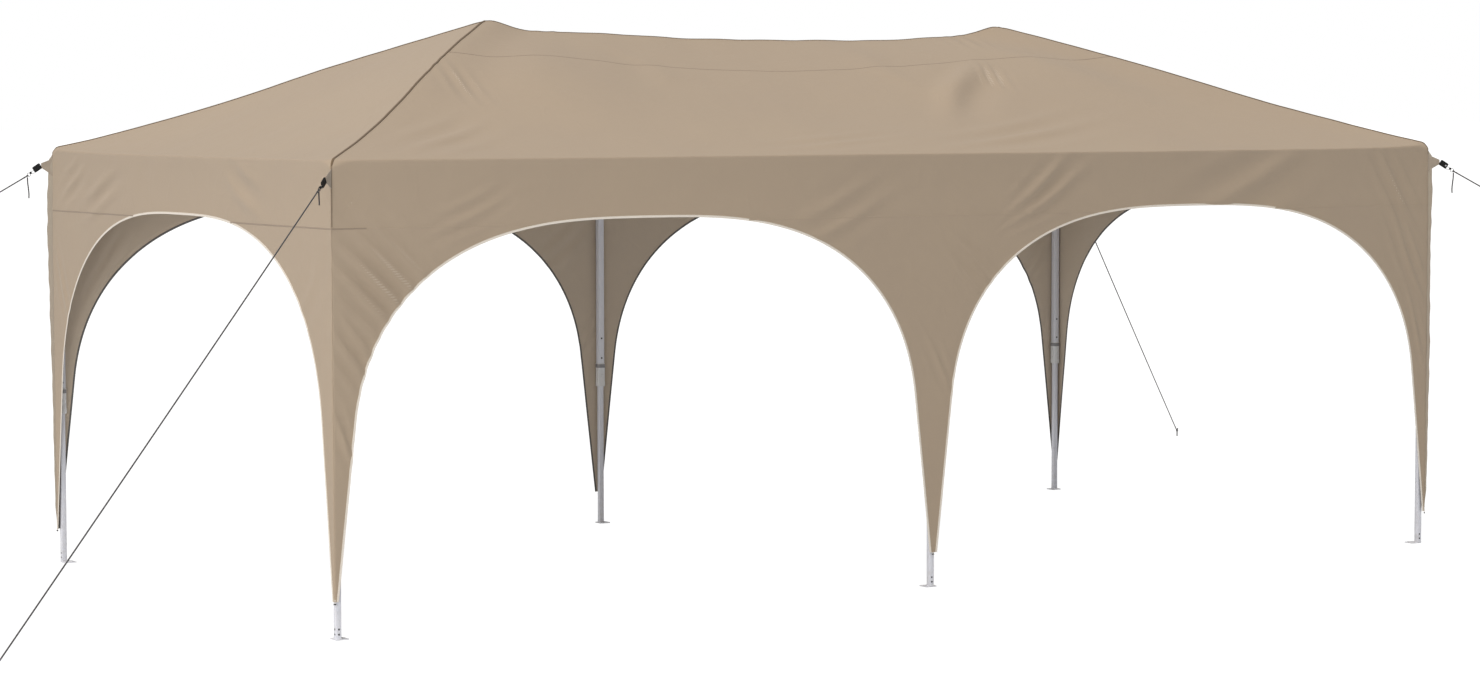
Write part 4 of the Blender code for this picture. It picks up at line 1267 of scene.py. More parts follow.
@dataclass
class Cover:
    """The cloth of the tent: four slopes, the band round them, and six skirts."""

    finishes: Finishes
    shape: CoverShape
    slope_rows: int = 100
    long_columns: int = 360
    end_columns: int = 150
    band_rows: int = 26
    skirt_rows: int = 120
    skirt_columns: int = 150
    column_step: float = 0.0125

    def shell(
        self, name: str, sharp: Array, pattern: Array, stands_for: Sequence[str], ring: bool = False
    ) -> bpy.types.Object:
        """Make a closed sheet of cloth from a grid of sharp points.

        The outer layer is the laid grid. The inner layer is the same grid moved in along its
        own outward directions, and strips join the two at the edges.

        Args:
            name: The piece's name.
            sharp: Points in rows and columns, from the lower edge up and to the right.
            pattern: Flat coordinates of the cloth, one column more than sharp on a ring.
            stands_for: The nodes that it replaces.
            ring: Whether the last column meets the first.

        Returns:
            The piece.
        """
        outer, _ = self.shape.lay(sharp)
        outward = unit(np.cross(ways_along(outer, 1, ring), np.gradient(outer, axis=0)))
        inner = outer - outward * self.shape.sizes.thickness
        top = np.arange(outer.size // 3).reshape(outer.shape[:2])
        if ring:
            top = np.c_[top, top[:, :1]]
        below = top + outer.size // 3
        edges = [np.s_[0, ::-1], np.s_[-1, :]] + ([] if ring else [np.s_[:, 0], np.s_[::-1, -1]])
        strips = [(top[edge], below[edge], pattern[edge]) for edge in edges]
        rims = [np.stack([t[:-1], t[1:], b[1:], b[:-1]], axis=-1) for t, b, _ in strips]
        rim_pattern = [np.stack([p[:-1], p[1:], p[1:], p[:-1]], axis=1).reshape(-1, 2) for _, _, p in strips]
        corners = grid_quads(pattern).reshape(-1, 4, 2)
        layers = [grid_quads(top).reshape(-1, 4), grid_quads(below).reshape(-1, 4)[:, ::-1]]
        sides = np.repeat([0, 1, 0], [len(corners), len(corners), sum(map(len, rims))])
        points = np.concatenate([outer.reshape(-1, 3), inner.reshape(-1, 3)])
        flat = np.concatenate([corners.reshape(-1, 2), corners[:, ::-1].reshape(-1, 2), *rim_pattern])
        # The inner layer takes the lighter inside finish: painted light.
        finishes = [self.finishes.cloth, self.finishes.painted_light_lining]
        faces = [np.concatenate([*layers, *rims])]
        return build_piece(name, points, faces, flat, sides, finishes, "canopy_cloth", stands_for, sharp=60.0)

    def make_slopes(self) -> None:
        """Make the four slopes of the roof, each sewn to the next along a hip or the ridge."""
        s = self.shape.sizes
        rows = np.linspace(0.0, 1.0, self.slope_rows + 1)[:, None] ** 1.12
        for name, way in (("front", -1.0), ("back", 1.0)):
            across, rise = eased_steps(self.long_columns, 1.2) * s.hip_x(rows), 1.62
            x = -way * across
            sharp = spread(x, way * s.hip_y(rows), s.long_slope(x, way, rows))
            piece = self.shell(f"slope_{name}", sharp, spread(across, rise * rows), [f"roof_{name}"])
        rows = 0.998 * rows
        for name, way in (("left", -1.0), ("right", 1.0)):
            across, rise = eased_steps(self.end_columns, 1.2) * s.hip_y(rows), 1.64
            y = way * across
            sharp = spread(way * s.hip_x(rows), y, s.end_slope(way, y, rows))
            piece = self.shell(f"slope_{name}_end", sharp, spread(across, rise * rows), [f"roof_{name}_end"])

    def make_band(self) -> None:
        """Make the upright band round all four walls, from the eave down to seam and arches.

        An arch's height at a distance from its leg comes from its width, turned round.
        """
        s = self.shape.sizes
        girth, legs = s.corner_runs[-1], np.array([*s.legs.values(), s.corner_runs[-1]])
        edge = float(s.skirt_half(np.array(s.seam)))
        spacing = np.arange(0.0, girth, self.column_step)
        from_corner = np.min(np.abs(spacing[:, None] - s.corner_runs), axis=1)
        close = np.array([0.002, 0.005, 0.009, 0.014, 0.019, 0.024])
        corners = s.corner_runs[:, None] + np.array([*-close, 0.0, *close])
        seams = legs[:, None] + np.array([-edge, edge])
        columns = np.concatenate([spacing[from_corner >= 0.03], seams.ravel(), corners.ravel()])
        run = np.unique(np.round(columns, 6))
        run = run[(run >= 0.0) & (run < girth - 1e-6)]
        from_leg = np.min(np.abs(run[:, None] - legs), axis=1)
        heights = s.tip + (s.crown - s.tip) * (1.0 - np.linspace(1.0, 0.0, 4000) ** 2.5)
        low = np.where(from_leg < edge, s.seam, np.interp(from_leg, s.skirt_half(heights), heights))
        high = s.eave_at(*s.wall_line(run, 0.0)[:, :2].T)
        t = 1.0 - (1.0 - np.linspace(0.0, 1.0, self.band_rows + 1)[:, None]) ** 1.2
        z = low + (high - low) * t
        pattern = spread(np.append(run, girth), np.c_[z, z[:, :1]])
        nodes = ["band_front", "band_back", "band_left_end", "band_right_end"]
        piece = self.shell("cover_band", s.wall_line(run, z), pattern, nodes, ring=True)

    def make_skirts(self) -> None:
        """Make the six skirts, each tapering down its leg between two arches."""
        s = self.shape.sizes
        t = np.linspace(0.0, 1.0, self.skirt_rows + 1)
        z = s.tip + (s.seam - s.tip) * (1.0 - (1.0 - t) ** 1.35)
        half = s.skirt_half(z)
        for leg, start in s.legs.items():
            u = np.linspace(-1.0, 1.0, self.skirt_columns + 1)
            u = u if "middle" in leg else np.sign(u) * np.abs(u) ** 1.3
            run = start + half[:, None] * u
            sharp, pattern = s.wall_line(run, z[:, None]), spread(run, z[:, None])
            piece = self.shell(f"cover_skirt_{leg}", sharp, pattern, [f"skirt_{leg}"])

    def make(self) -> None:
        """Make slopes, band and skirts."""
        self.make_slopes()
        self.make_band()
        self.make_skirts()


@dataclass
class Trim:
    """Pipings, welts, seams and bindings on the cover."""

    finishes: Finishes
    shape: CoverShape
    piping: tuple[float, float] = (0.0100, 0.0044)
    welt: tuple[float, float] = (0.0050, 0.0030)
    seam_width: float = 0.0060
    seam_height: float = 0.0009
    plain_height: float = 0.0007
    binding_width: float = 0.010
    binding_thickness: float = 0.0030
    slope_seam_at: float = 0.735

    def follow(
        self,
        name: str,
        sharp: Array,
        size: tuple[float, float],
        finish: Material,
        lift: float = 0.0,
        scale: Array | None = None,
    ) -> None:
        """Lay a strip on the cloth along sharp points.

        Args:
            name: The strip's name.
            sharp: The line's points on the sharp cover.
            size: The strip's width, and its height, half of which stands out of the cloth.
            finish: Its material.
            lift: How far its middle is moved out.
            scale: Its size at each point, as a share.
        """
        path, up = self.shape.lay(sharp)
        profile = soft_rectangle(*size, size[1] * 0.45)
        make_piece(name, [(finish, [sweep(path + up * lift, up, profile, scale=scale)])], "canopy_cloth")

    def make_pipings(self) -> None:
        """Make the four hip pipings, each going on down its corner, at the front left to the seam."""
        s, v = self.shape.sizes, np.linspace(1.0, 0.0, 160)
        for corner, (sx, sy) in CORNERS.items():
            x, y = sx * s.hip_x(v), sy * s.hip_y(v)
            hip = spread(x, y, s.end_slope(x, y, v))
            foot = hip[-1, 2]
            low = s.seam + 0.004 if corner == "front_left" else foot - 0.05
            line = np.concatenate([hip, spread(x[-1], y[-1], np.arange(foot - 0.004, low, -0.004))])
            scale = 1.0 - 0.35 * ease((foot - line[:, 2]) / 0.03)
            self.follow(f"corner_piping_{corner}", line, self.piping, self.finishes.piping, 0.0004, scale)

    def make_welts(self) -> None:
        """Make the ridge welt and the seams on the long slopes."""
        s, v = self.shape.sizes, self.slope_seam_at
        x = np.linspace(-s.peak_x, s.peak_x, 240)
        self.follow("ridge_welt", spread(x, 0.0, s.ridge_at(x)), self.welt, self.finishes.piping, 0.0005)
        for wall, way in (("front", -1.0), ("back", 1.0)):
            x = way * s.hip_x(v) * 0.999 * np.linspace(1.0, -1.0, 300)
            line = spread(x, way * s.hip_y(v), s.long_slope(x, way, v))
            self.follow(f"slope_seam_{wall}", line, (self.welt[0], self.seam_height), self.finishes.seam)

    def make_band_seams(self) -> None:
        """Make the seam between band and skirts, one length across the top of each skirt.

        It shows as a stitched line on the end walls and for a short way round two corners, and is
        a flat seam in the cloth's own colour on the rest of the long walls.
        """
        s = self.shape.sizes
        half = float(s.skirt_half(np.array(s.seam))) - 0.012
        for leg, start in s.legs.items():
            shown, plain = (-0.004, half), (-half, -0.004)
            if leg in ("front_left", "back_right"):
                shown, plain = (-half, 0.16), (0.16, half)
            lengths = [("band_seam", shown, self.seam_height, self.finishes.seam)]
            if "middle" in leg:
                lengths, plain = [], (-half, half)
            lengths.append(("flat_seam", plain, self.plain_height, self.finishes.cloth))
            for kind, (low, high), height, finish in lengths:
                steps = np.concatenate([np.linspace(low, high, 120), np.linspace(-0.03, 0.03, 25)])
                off = np.unique(np.round(steps, 5))
                line = s.wall_line(start + off[(off >= low) & (off <= high)], s.seam)
                self.follow(f"{kind}_{leg}", line, (self.seam_width, height), finish)

    def make_bindings(self) -> None:
        """Make the tape folded over each arch's edge, pale outside, with its inside face painted dark: painted
        shade.
        """
        s = self.shape.sizes
        width, thick = self.binding_width, self.binding_thickness
        profile = soft_rectangle(width, thick, 0.0013) + np.array([width / 2.0 - 0.0012, -s.thickness / 2.0])
        inside = profile[:, 1] + np.roll(profile[:, 1], -1) < -s.thickness
        runs = [*s.legs.values(), s.corner_runs[-1]]
        names = ("front_left", "front_right", "right_end", "back_right", "back_left", "left_end")
        z_side = s.tip + (s.crown - s.tip) * (1.0 - np.linspace(1.0, 0.0, 150) ** 1.8)
        for first, second, name in zip(runs[:-1], runs[1:], names):
            half = s.skirt_half(z_side)
            run = np.concatenate([first + half, [(first + second) / 2.0], second - half[::-1]])
            z = np.concatenate([z_side, [s.crown], z_side[::-1]])
            keep = np.append(True, np.hypot(np.diff(run), np.diff(z)) > 1e-4)
            path, up = self.shape.lay(s.wall_line(run[keep], z[keep]))
            points, faces, corners = sweep(path, up, profile)
            # Faces on the inside take the dark finish: painted shade.
            finish = np.append(np.tile(inside, len(path) - 1), [False, False])
            flat = np.concatenate([rows.reshape(-1, 2) for rows in corners])
            finishes = [self.finishes.binding, self.finishes.binding_painted_shade_inside]
            build_piece(f"arch_binding_{name}", points, faces, flat, finish, finishes, "canopy_cloth")

    def make_strips(self) -> None:
        """Make the seam strip that stands out of each corner, from the eave down to the skirt's tip.

        Its reach outward differs from corner to corner and with the height, tapers at both ends,
        and wavers by two small sine waves.
        """
        s = self.shape.sizes
        heights = (0.18, 0.90, 1.55, 1.73, 1.95)
        reach = {
            "front_left": (0.0, 0.001, 0.002, 0.006, 0.006),
            "front_right": (0.006, 0.015, 0.015, 0.021, 0.019),
            "back_left": (0.006, 0.015, 0.028, 0.028, 0.020),
            "back_right": (0.006, 0.012, 0.014, 0.016, 0.014),
        }
        profile = soft_rectangle(1.0, 1.0, 0.45)
        z = np.linspace(s.eave - 0.006, s.tip + 0.02, 240)
        pattern = spread(z[:, None], np.linspace(0.0, 0.02, len(profile) + 1))
        for corner, widths in reach.items():
            sx, sy = CORNERS[corner]
            path, _ = self.shape.lay(spread(sx * s.half_length, sy * s.half_width, z))
            out = unit(np.array([sx, sy, 0.0]))
            taper = np.interp(z, heights, widths) * ease((z[0] - z) / 0.045) * ease((z - z[-1]) / 0.10)
            waver = 0.06 * np.sin(z * 2.0 * pi / 0.19) + 0.04 * np.sin(z * 2.0 * pi / 0.083)
            outward = (profile[:, 1] + 0.5) * (0.0015 + taper * (1.0 + waver))[:, None] - 0.001
            points = path[:, None] + np.cross(UP, out) * profile[:, :1] * 0.0022 + out * outward[..., None]
            finish = self.finishes.cloth if corner == "front_left" else self.finishes.strip
            make_piece(f"corner_strip_{corner}", [(finish, [tube(points, pattern)])], "canopy_cloth", sharp=60.0)

    def make_toggles(self) -> None:
        """Make the toggle and its elastic loop at each skirt's tip."""
        s, (cosine, sine) = self.shape.sizes, circle(28)
        end = [(-0.0056, 0.0016), (-0.0052, 0.0026), (-0.0036, 0.0031), (-0.0012, 0.0022)]
        barrel = end + [(-height, radius) for height, radius in end[::-1]]
        for leg in LEGS:
            out = unit(np.array([-float(leg.in_x), -float(leg.in_y), 0.0]))
            along = np.cross(out, UP)
            edge = np.array([-leg.in_x * s.half_length, -leg.in_y * s.half_width, 0.0])
            middle = edge - out * (0.0045 if leg.in_x else 0.0035) + UP * 0.151
            loop = middle + UP * (0.008 + 0.0105 * cosine[:, None]) + along * (0.0035 * sine[:, None])
            elastic = sweep(loop, out, round_profile(0.0010, 8), ring=True)
            parts = [
                (self.finishes.binding, [elastic]),
                (self.finishes.black_plastic, [turned_body(middle, along, barrel, 16)]),
            ]
            make_piece(f"skirt_toggle_{leg.name}", parts, "dark_steel")

    def make(self) -> None:
        """Make every trim."""
        self.make_pipings()
        self.make_welts()
        self.make_band_seams()
        self.make_bindings()
        self.make_strips()
        self.make_toggles()


# Guy lines


@dataclass
class GuyLine:
    """One corner's guy line: tab, buckle, wire loop, ring, knots, rope, hanging end and peg."""

    finishes: Finishes
    corner: str
    peg: tuple[float, float]
    tail_length: float
    hump: float
    start_height: float = 1.916
    peg_loop_height: float = 0.034
    rope_radius: float = 0.002
    peg_radius: float = 0.004
    gap: float = 0.0003
    shown_radius: float = 0.0030
    knot_reach: float = 0.118
    knot_radius: float = 0.005
    small_knot: float = 0.0042

    def __post_init__(self) -> None:
        """Work out the rope's line from the corner to the peg."""
        sx, sy = CORNERS[self.corner]
        self.foot = np.array([3.0 * sx, 1.51 * sy, 0.0])
        self.peg_foot = np.array([*self.peg, 0.0])
        distance = float(np.linalg.norm(self.peg_foot - self.foot))
        self.outward = (self.peg_foot - self.foot) / distance
        to_peg = distance - self.peg_radius - self.gap
        self.fall = (self.start_height - self.peg_loop_height) / to_peg
        self.slope = self.outward - UP * self.fall
        self.forward = unit(self.slope)
        self.reach = to_peg - self.rope_radius * self.fall
        self.side = np.cross(self.outward, UP)
        self.rise = np.cross(self.side, self.forward)

    def at(self, reach: float, drop: float = 0.0) -> Array:
        """Return the point at a reach, dropped, and arched up short of the knot by half a sine wave."""
        arch = self.hump * sin(pi * min(max(reach / self.knot_reach, 0.0), 1.0))
        return self.foot + UP * (self.start_height + arch - drop) + self.slope * reach

    def make_tail(self) -> None:
        """Make the rope's hanging end below the knot, along the route that the frame has."""
        drop = self.knot_radius * np.hypot(1.0, self.fall) + self.rope_radius * self.fall + self.gap
        route = [(0.0, 0.0), (0.0, 0.12), (-0.01, 0.3), (-0.04, 0.55), (-0.06, 0.8), (-0.055, 1.0)]
        hang = np.array([self.outward * a - UP * b for a, b in route]) * self.tail_length
        path = smooth_route(self.at(self.knot_reach, drop) + hang)
        parts = [(self.finishes.rope, [sweep(path, self.side, round_profile(self.shown_radius, 12))])]
        nodes = [f"rope_tail_{self.corner}"]
        piece = make_piece(f"hanging_end_{self.corner}", parts, "guy_rope", nodes, sharp=60.0)

    def make_rope(self) -> None:
        """Make the taut rope from the knot to the peg, with its knots and the loop round the peg."""
        share = np.linspace(0.0, 1.0, 90)[:, None]
        reach = self.knot_reach + (self.reach - self.knot_reach) * share
        sag = 4.0 * 0.006 * share * (1.0 - share)
        path = self.foot + UP * (self.start_height - sag) + self.slope * reach
        bodies = [sweep(path, self.side, round_profile(self.shown_radius, 12))]
        for reach, size in ((0.0, self.knot_radius), (0.016, self.small_knot)):
            bodies.append(self.knot(self.at(self.knot_reach + reach), size))
        bodies.append(self.knot(self.at(self.reach - 0.05), self.small_knot))
        turn = np.linspace(0.0, 2.0 * pi, 32, endpoint=False)
        tilted = spread(np.cos(turn), np.sin(turn), 0.15 * np.cos(turn - 0.6))
        loop = self.peg_foot + UP * self.peg_loop_height + (self.peg_radius + self.rope_radius) * tilted
        bodies.append(sweep(loop, UP, round_profile(self.rope_radius, 12), ring=True))
        parts = [(self.finishes.rope, bodies)]
        make_piece(f"guy_rope_{self.corner}", parts, "guy_rope", [f"guy_line_{self.corner}"], sharp=60.0)

    def knot(self, centre: Array, size: float) -> Body:
        """Return a small overhand knot: rope wound two and a half times round the line.

        Args:
            centre: Its middle.
            size: Its radius.

        Returns:
            Points, faces and corner coordinates, as tube gives them.
        """
        turn = np.linspace(0.0, 5.0 * pi, 44)[:, None]
        share = np.linspace(-1.0, 1.0, 44)[:, None]
        around = self.side * np.cos(turn) + np.cross(self.forward, self.side) * np.sin(turn)
        along = 0.9 * share * size + 0.25 * size * np.sin(turn * 0.8)
        path = centre + around * (size * 0.55 * (1.0 - 0.35 * share**2)) + self.forward * along
        return sweep(path, self.forward, round_profile(size * 0.42, 10))

    def make_tab(self) -> None:
        """Make the cloth tab sewn into the corner, which narrows to the buckle's bar."""
        rows, half, end = 12, 0.0013, self.at(0.050)[2]
        share, up = np.linspace(0.0, 1.0, 10), np.linspace(0.0, 1.0, rows)[:, None]
        low = 1.842 + (end - 0.011 - 1.842) * share**0.8
        high = 1.932 + (end + 0.011 - 1.932) * share
        z = low + (high - low) * up
        centre = self.foot + self.outward * (-0.010 + 0.060 * share)[None, :, None] + UP * z[..., None]
        buckled = 0.0012 * np.sin(pi * up) * np.sin(pi * share)
        near, far = (centre + self.side * (buckled + way * half)[..., None] for way in (1.0, -1.0))
        rings = np.concatenate([far, near[::-1]]).swapaxes(0, 1)
        round_share = np.arange(2 * rows - 1, -2, -1) / (2 * rows)
        pattern = spread(0.06 * share[:, None], 0.16 * round_share)
        make_piece(f"corner_tab_{self.corner}", [(self.finishes.webbing, [tube(rings, pattern)])], "guy_rope")

    def make_fittings(self) -> None:
        """Make the buckle, the wire loop, the bead and the thin ring."""
        normal, rise, tilt = self.side, self.rise, radians(-4.0)
        ahead = self.forward * cos(tilt) + rise * sin(tilt)
        above = rise * cos(tilt) - self.forward * sin(tilt)
        middle, bead = self.at(0.070), self.at(0.102)
        face, side = (0.0200, 0.0136, 0.0050), (0.0210, 0.0145, 0.0054)
        rows = [(*face, -0.0030), (*side, -0.0018), (*side, 0.0018), (*face, 0.0030)]
        bar = [(0.0022, 0.0126, 0.0010, -0.0040), (0.0022, 0.0126, 0.0010, 0.0040)]
        black = [stacked_body(middle, ahead, above, rows, steps=5)]
        black += [stacked_body(middle + ahead * off, ahead, above, bar) for off in (-0.015, 0.001)]
        cosine, sine = (part[:, None] for part in circle(36))
        lower = middle + ahead * 0.015 - above * 0.010
        run = bead - lower
        way = unit(run)
        wire = lower + run / 2.0 * (1.0 + cosine) + np.cross(normal, way) * 0.0060 * sine
        turn = np.linspace(0.06, pi - 0.06, 11)
        black.append(turned_body(bead - way * 0.006, way, 0.006 * spread(1.0 - np.cos(turn), np.sin(turn)), 16))
        ring = self.at(0.111, 0.001) + 0.0085 * (self.forward * cosine + rise * sine) + normal * 0.0015 * cosine
        black.append(sweep(ring, normal, round_profile(0.0010, 8), ring=True))
        bright = [spot(middle + ahead * 0.0125, normal, 0.0042, 0.0034)]
        bright.append(sweep(wire, normal, round_profile(0.0014, 8), ring=True))
        parts = [(self.finishes.black_plastic, black), (self.finishes.wire, bright)]
        make_piece(f"guy_buckle_{self.corner}", parts, "dark_steel")

    def make_peg(self) -> None:
        """Make the ground peg: a bent wire whose hook holds the rope's loop."""
        route = [(0.0, 0.0), (0.0, 0.02), (0.0, 0.036), (0.002, 0.044), (0.008, 0.0475), (0.015, 0.0465)]
        route.append((0.0185, 0.041))
        path = smooth_route(self.peg_foot + np.array([self.outward * a + UP * b for a, b in route]))
        scale = np.ones(len(path))
        scale[-2:] = (0.8, 0.45)
        parts = [(self.finishes.dark_steel, [sweep(path, self.side, round_profile(0.0038, 14), scale=scale)])]
        make_piece(f"ground_peg_{self.corner}", parts, "dark_steel", [f"peg_{self.corner}"], sharp=50.0)

    def make(self) -> None:
        """Make every piece of the guy line."""
        self.make_tail()
        self.make_rope()
        self.make_tab()
        self.make_fittings()
        self.make_peg()


# Frame


LEG_X, LEG_Y = 2.975, 1.485
UPPER_PIVOT, LOWER_PIVOT = 1.910, 1.745


@dataclass(frozen=True)
class Leg:
    """One leg: its name, its place, and the ways in from it, nothing along X at a middle leg."""

    name: str
    x: float
    y: float
    in_x: int
    in_y: int

    @property
    def ways(self) -> list[Array]:
        """The directions in which scissor bars leave the leg."""
        return [*([EAST * self.in_x] if self.in_x else [EAST, -EAST]), NORTH * self.in_y]

    def at(self, z: float) -> Array:
        """Return the point at height z on the leg's middle line."""
        return np.array([self.x, self.y, z])


LEGS = tuple(
    Leg(f"{wall}_{side}", x, y, -int(np.sign(x)), -int(np.sign(y)))
    for wall, y in (("front", -LEG_Y), ("back", LEG_Y))
    for side, x in (("left", -LEG_X), ("middle", 0.0), ("right", LEG_X))
)


@dataclass
class TentLegs:
    """The telescopic legs, each with lock housing, foot, eave cap and scissor sleeve."""

    finishes: Finishes
    tube_half: float = 0.0160
    tube_bore: float = 0.0141
    inner_half: float = 0.0125
    inner_bore: float = 0.0110
    housing_half: float = 0.0179
    cap_half: float = 0.0205
    pivot_reach: float = 0.045
    fork_gap: float = 0.0108
    fork_thickness: float = 0.003

    def square(self, leg: Leg, rows: Sequence[tuple[float, float, float]], hollow: bool = False) -> Body:
        """Return an upright square body on a leg's middle line from half sizes, radii and heights."""
        return stacked_body(leg.at(0.0), EAST, NORTH, [(half, half, radius, z) for half, radius, z in rows], hollow)

    def make_outer(self, leg: Leg) -> None:
        """Make the outer tube with its snap holes, and the moulded lock housing round its lower end.

        Args:
            leg: The leg.
        """
        h, b, face, steel = self.tube_half, self.tube_bore, NORTH * leg.in_y, self.finishes.steel
        rows = [(h - 0.0006, 0.0028, 0.80), (h, 0.0030, 0.8006), (h, 0.0030, 1.9294), (h - 0.0006, 0.0028, 1.930)]
        rows += [(b, 0.0016, 1.930), (b, 0.0016, 0.80)]
        # The snap holes are flat dark discs on the face: painted shade.
        holes = [spot(leg.at(z) + face * h, face, 0.0048) for z in (0.863, 0.966)]
        parts = [(steel, [self.square(leg, rows, True)]), (self.finishes.hole, holes)]
        make_piece(f"outer_tube_{leg.name}", parts, "white_steel", [f"outer_leg_{leg.name}"], sharp=30.0)
        h = self.housing_half
        rows = [(0.0172, 0.0034, 0.715), (0.0188, 0.0040, 0.7175), (0.0190, 0.0040, 0.7370), (h, 0.0036, 0.7400)]
        rows += [(h, 0.0036, 0.8070), (0.0187, 0.0040, 0.8100), (0.0187, 0.0040, 0.8335), (0.0176, 0.0034, 0.836)]
        rows += [(0.0162, 0.0030, 0.836), (0.0162, 0.0030, 0.8012)]
        rows += [(0.0129, 0.0026, 0.7995), (0.0129, 0.0026, 0.715)]
        ring = [(0.0186, 0.0040, 0.8120), (0.0190, 0.0041, 0.8128)]
        ring += [(0.0190, 0.0041, 0.8307), (0.0186, 0.0040, 0.8315)]
        pale = [self.square(leg, rows, True), spot(leg.at(0.772) + face * h, face, 0.0088, 0.0012)]
        pale.append(spot(leg.at(0.772) + face * 0.0190, face, 0.0066, 0.0030))
        sides = [(z, EAST * way) for z in (0.752, 0.796) for way in (-1.0, 1.0)]
        rivets = [spot(leg.at(z) + way * h, way, 0.0028, 0.0011) for z, way in sides]
        parts = [(self.finishes.plastic, pale), (self.finishes.grey_plastic, [self.square(leg, ring, True)])]
        make_piece(f"lock_housing_{leg.name}", [*parts, (self.finishes.wire, rivets)], "pale_plastic", sharp=30.0)

    def make_inner(self, leg: Leg) -> None:
        """Make the inner tube with its snap holes, and its foot plate with rivets and a peg hole.

        Args:
            leg: The leg.
        """
        h, b, face, inward = self.inner_half, self.inner_bore, NORTH * leg.in_y, EAST * leg.in_x
        rows = [(h, 0.0024, 0.0030), (h, 0.0024, 1.0695), (h - 0.0005, 0.0020, 1.070)]
        rows += [(b, 0.0014, 1.070), (b, 0.0014, 0.0030)]
        weld = [(h + 0.0016, 0.0030, 0.0036), (h + 0.0010, 0.0028, 0.0052), (h + 0.0001, 0.0024, 0.0066)]
        middle = leg.at(0.0) + face * 0.0175 + inward * 0.0175
        plate = slab(0.0300, 0.0300, 0.0056, 0.0, 0.0040, (0.0008, 0.0007, 0.0006))
        white = [self.square(leg, rows, True), self.square(leg, weld)]
        white.append(stacked_body(middle, EAST, NORTH, plate, steps=5))
        hole = middle + ((face + inward) * 0.0155 if leg.in_x else face * 0.0120)
        # The peg hole and the snap holes are flat dark discs: painted shade. The discs near the foot take the same
        # dark finish.
        dark = [spot(hole + UP * 0.004, UP, 0.0048, 0.0003)]
        dark += [spot(leg.at(z) + EAST * h, EAST, 0.0040, 0.0003) for z in (0.30, 0.42, 0.54, 0.66)]
        outer_faces = [-face, -inward] if leg.in_x else [-face]
        dark += [spot(leg.at(z) + way * h, way, 0.0044, 0.0003) for z in (0.024, 0.045) for way in outer_faces]
        parts, nodes = [(self.finishes.steel, white), (self.finishes.hole, dark)], [f"inner_leg_{leg.name}"]
        make_piece(f"inner_tube_{leg.name}", parts, "white_steel", nodes, f"lower_leg_{leg.name}", 30.0)

    def fork(self, leg: Leg, pivot: float) -> tuple[list[Body], list[Body]]:
        """Return the plates that take the scissor ends at one height, and their pins.

        Args:
            leg: The leg.
            pivot: The pins' height.

        Returns:
            The plates and the pins.
        """
        plates, pins = [], []
        rows = slab(0.0194, 0.0168, 0.0074, 0.0, self.fork_thickness, (0.0006, 0.0006, 0.0004))
        for along in leg.ways:
            across = np.cross(along, UP)
            for start in (self.fork_gap, -self.fork_gap - self.fork_thickness):
                centre = leg.at(pivot) + along * 0.0370 + across * start
                plates.append(stacked_body(centre, along, UP, rows, steps=5))
            pins.append(pin(leg.at(pivot) + along * self.pivot_reach, across, self.fork_gap + self.fork_thickness))
        return plates, pins

    def make_plastics(self, leg: Leg) -> None:
        """Make the domed cap under the cloth and the sleeve below it, both with their forks.

        Args:
            leg: The leg.
        """
        c = self.cap_half
        dome = [(c - 0.0010, 0.005, 1.885), (c, 0.006, 1.887), (c, 0.006, 1.912), (0.0188, 0.007, 1.928)]
        dome += [(0.0165, 0.007, 1.9385), (0.0128, 0.006, 1.9460), (0.0080, 0.005, 1.9505), (0.0035, 0.002, 1.9520)]
        sleeve = [(c - 0.0010, 0.005, 1.722), (c, 0.006, 1.724), (c, 0.006, 1.766), (c - 0.0010, 0.005, 1.768)]
        sleeve += [(0.0163, 0.003, 1.768), (0.0163, 0.003, 1.722)]
        cap = ("eave_cap", "leg_cap", self.square(leg, dome), UPPER_PIVOT)
        slider = ("scissor_sleeve", "slider", self.square(leg, sleeve, True), LOWER_PIVOT)
        for name, node, block, pivot in (cap, slider):
            plates, pins = self.fork(leg, pivot)
            parts = [(self.finishes.plastic, [block, *plates]), (self.finishes.wire, pins)]
            make_piece(f"{name}_{leg.name}", parts, "pale_plastic", [f"{node}_{leg.name}"], sharp=32.0)

    def make(self) -> None:
        """Make all six legs."""
        for leg in LEGS:
            self.make_outer(leg)
            self.make_inner(leg)
            self.make_plastics(leg)


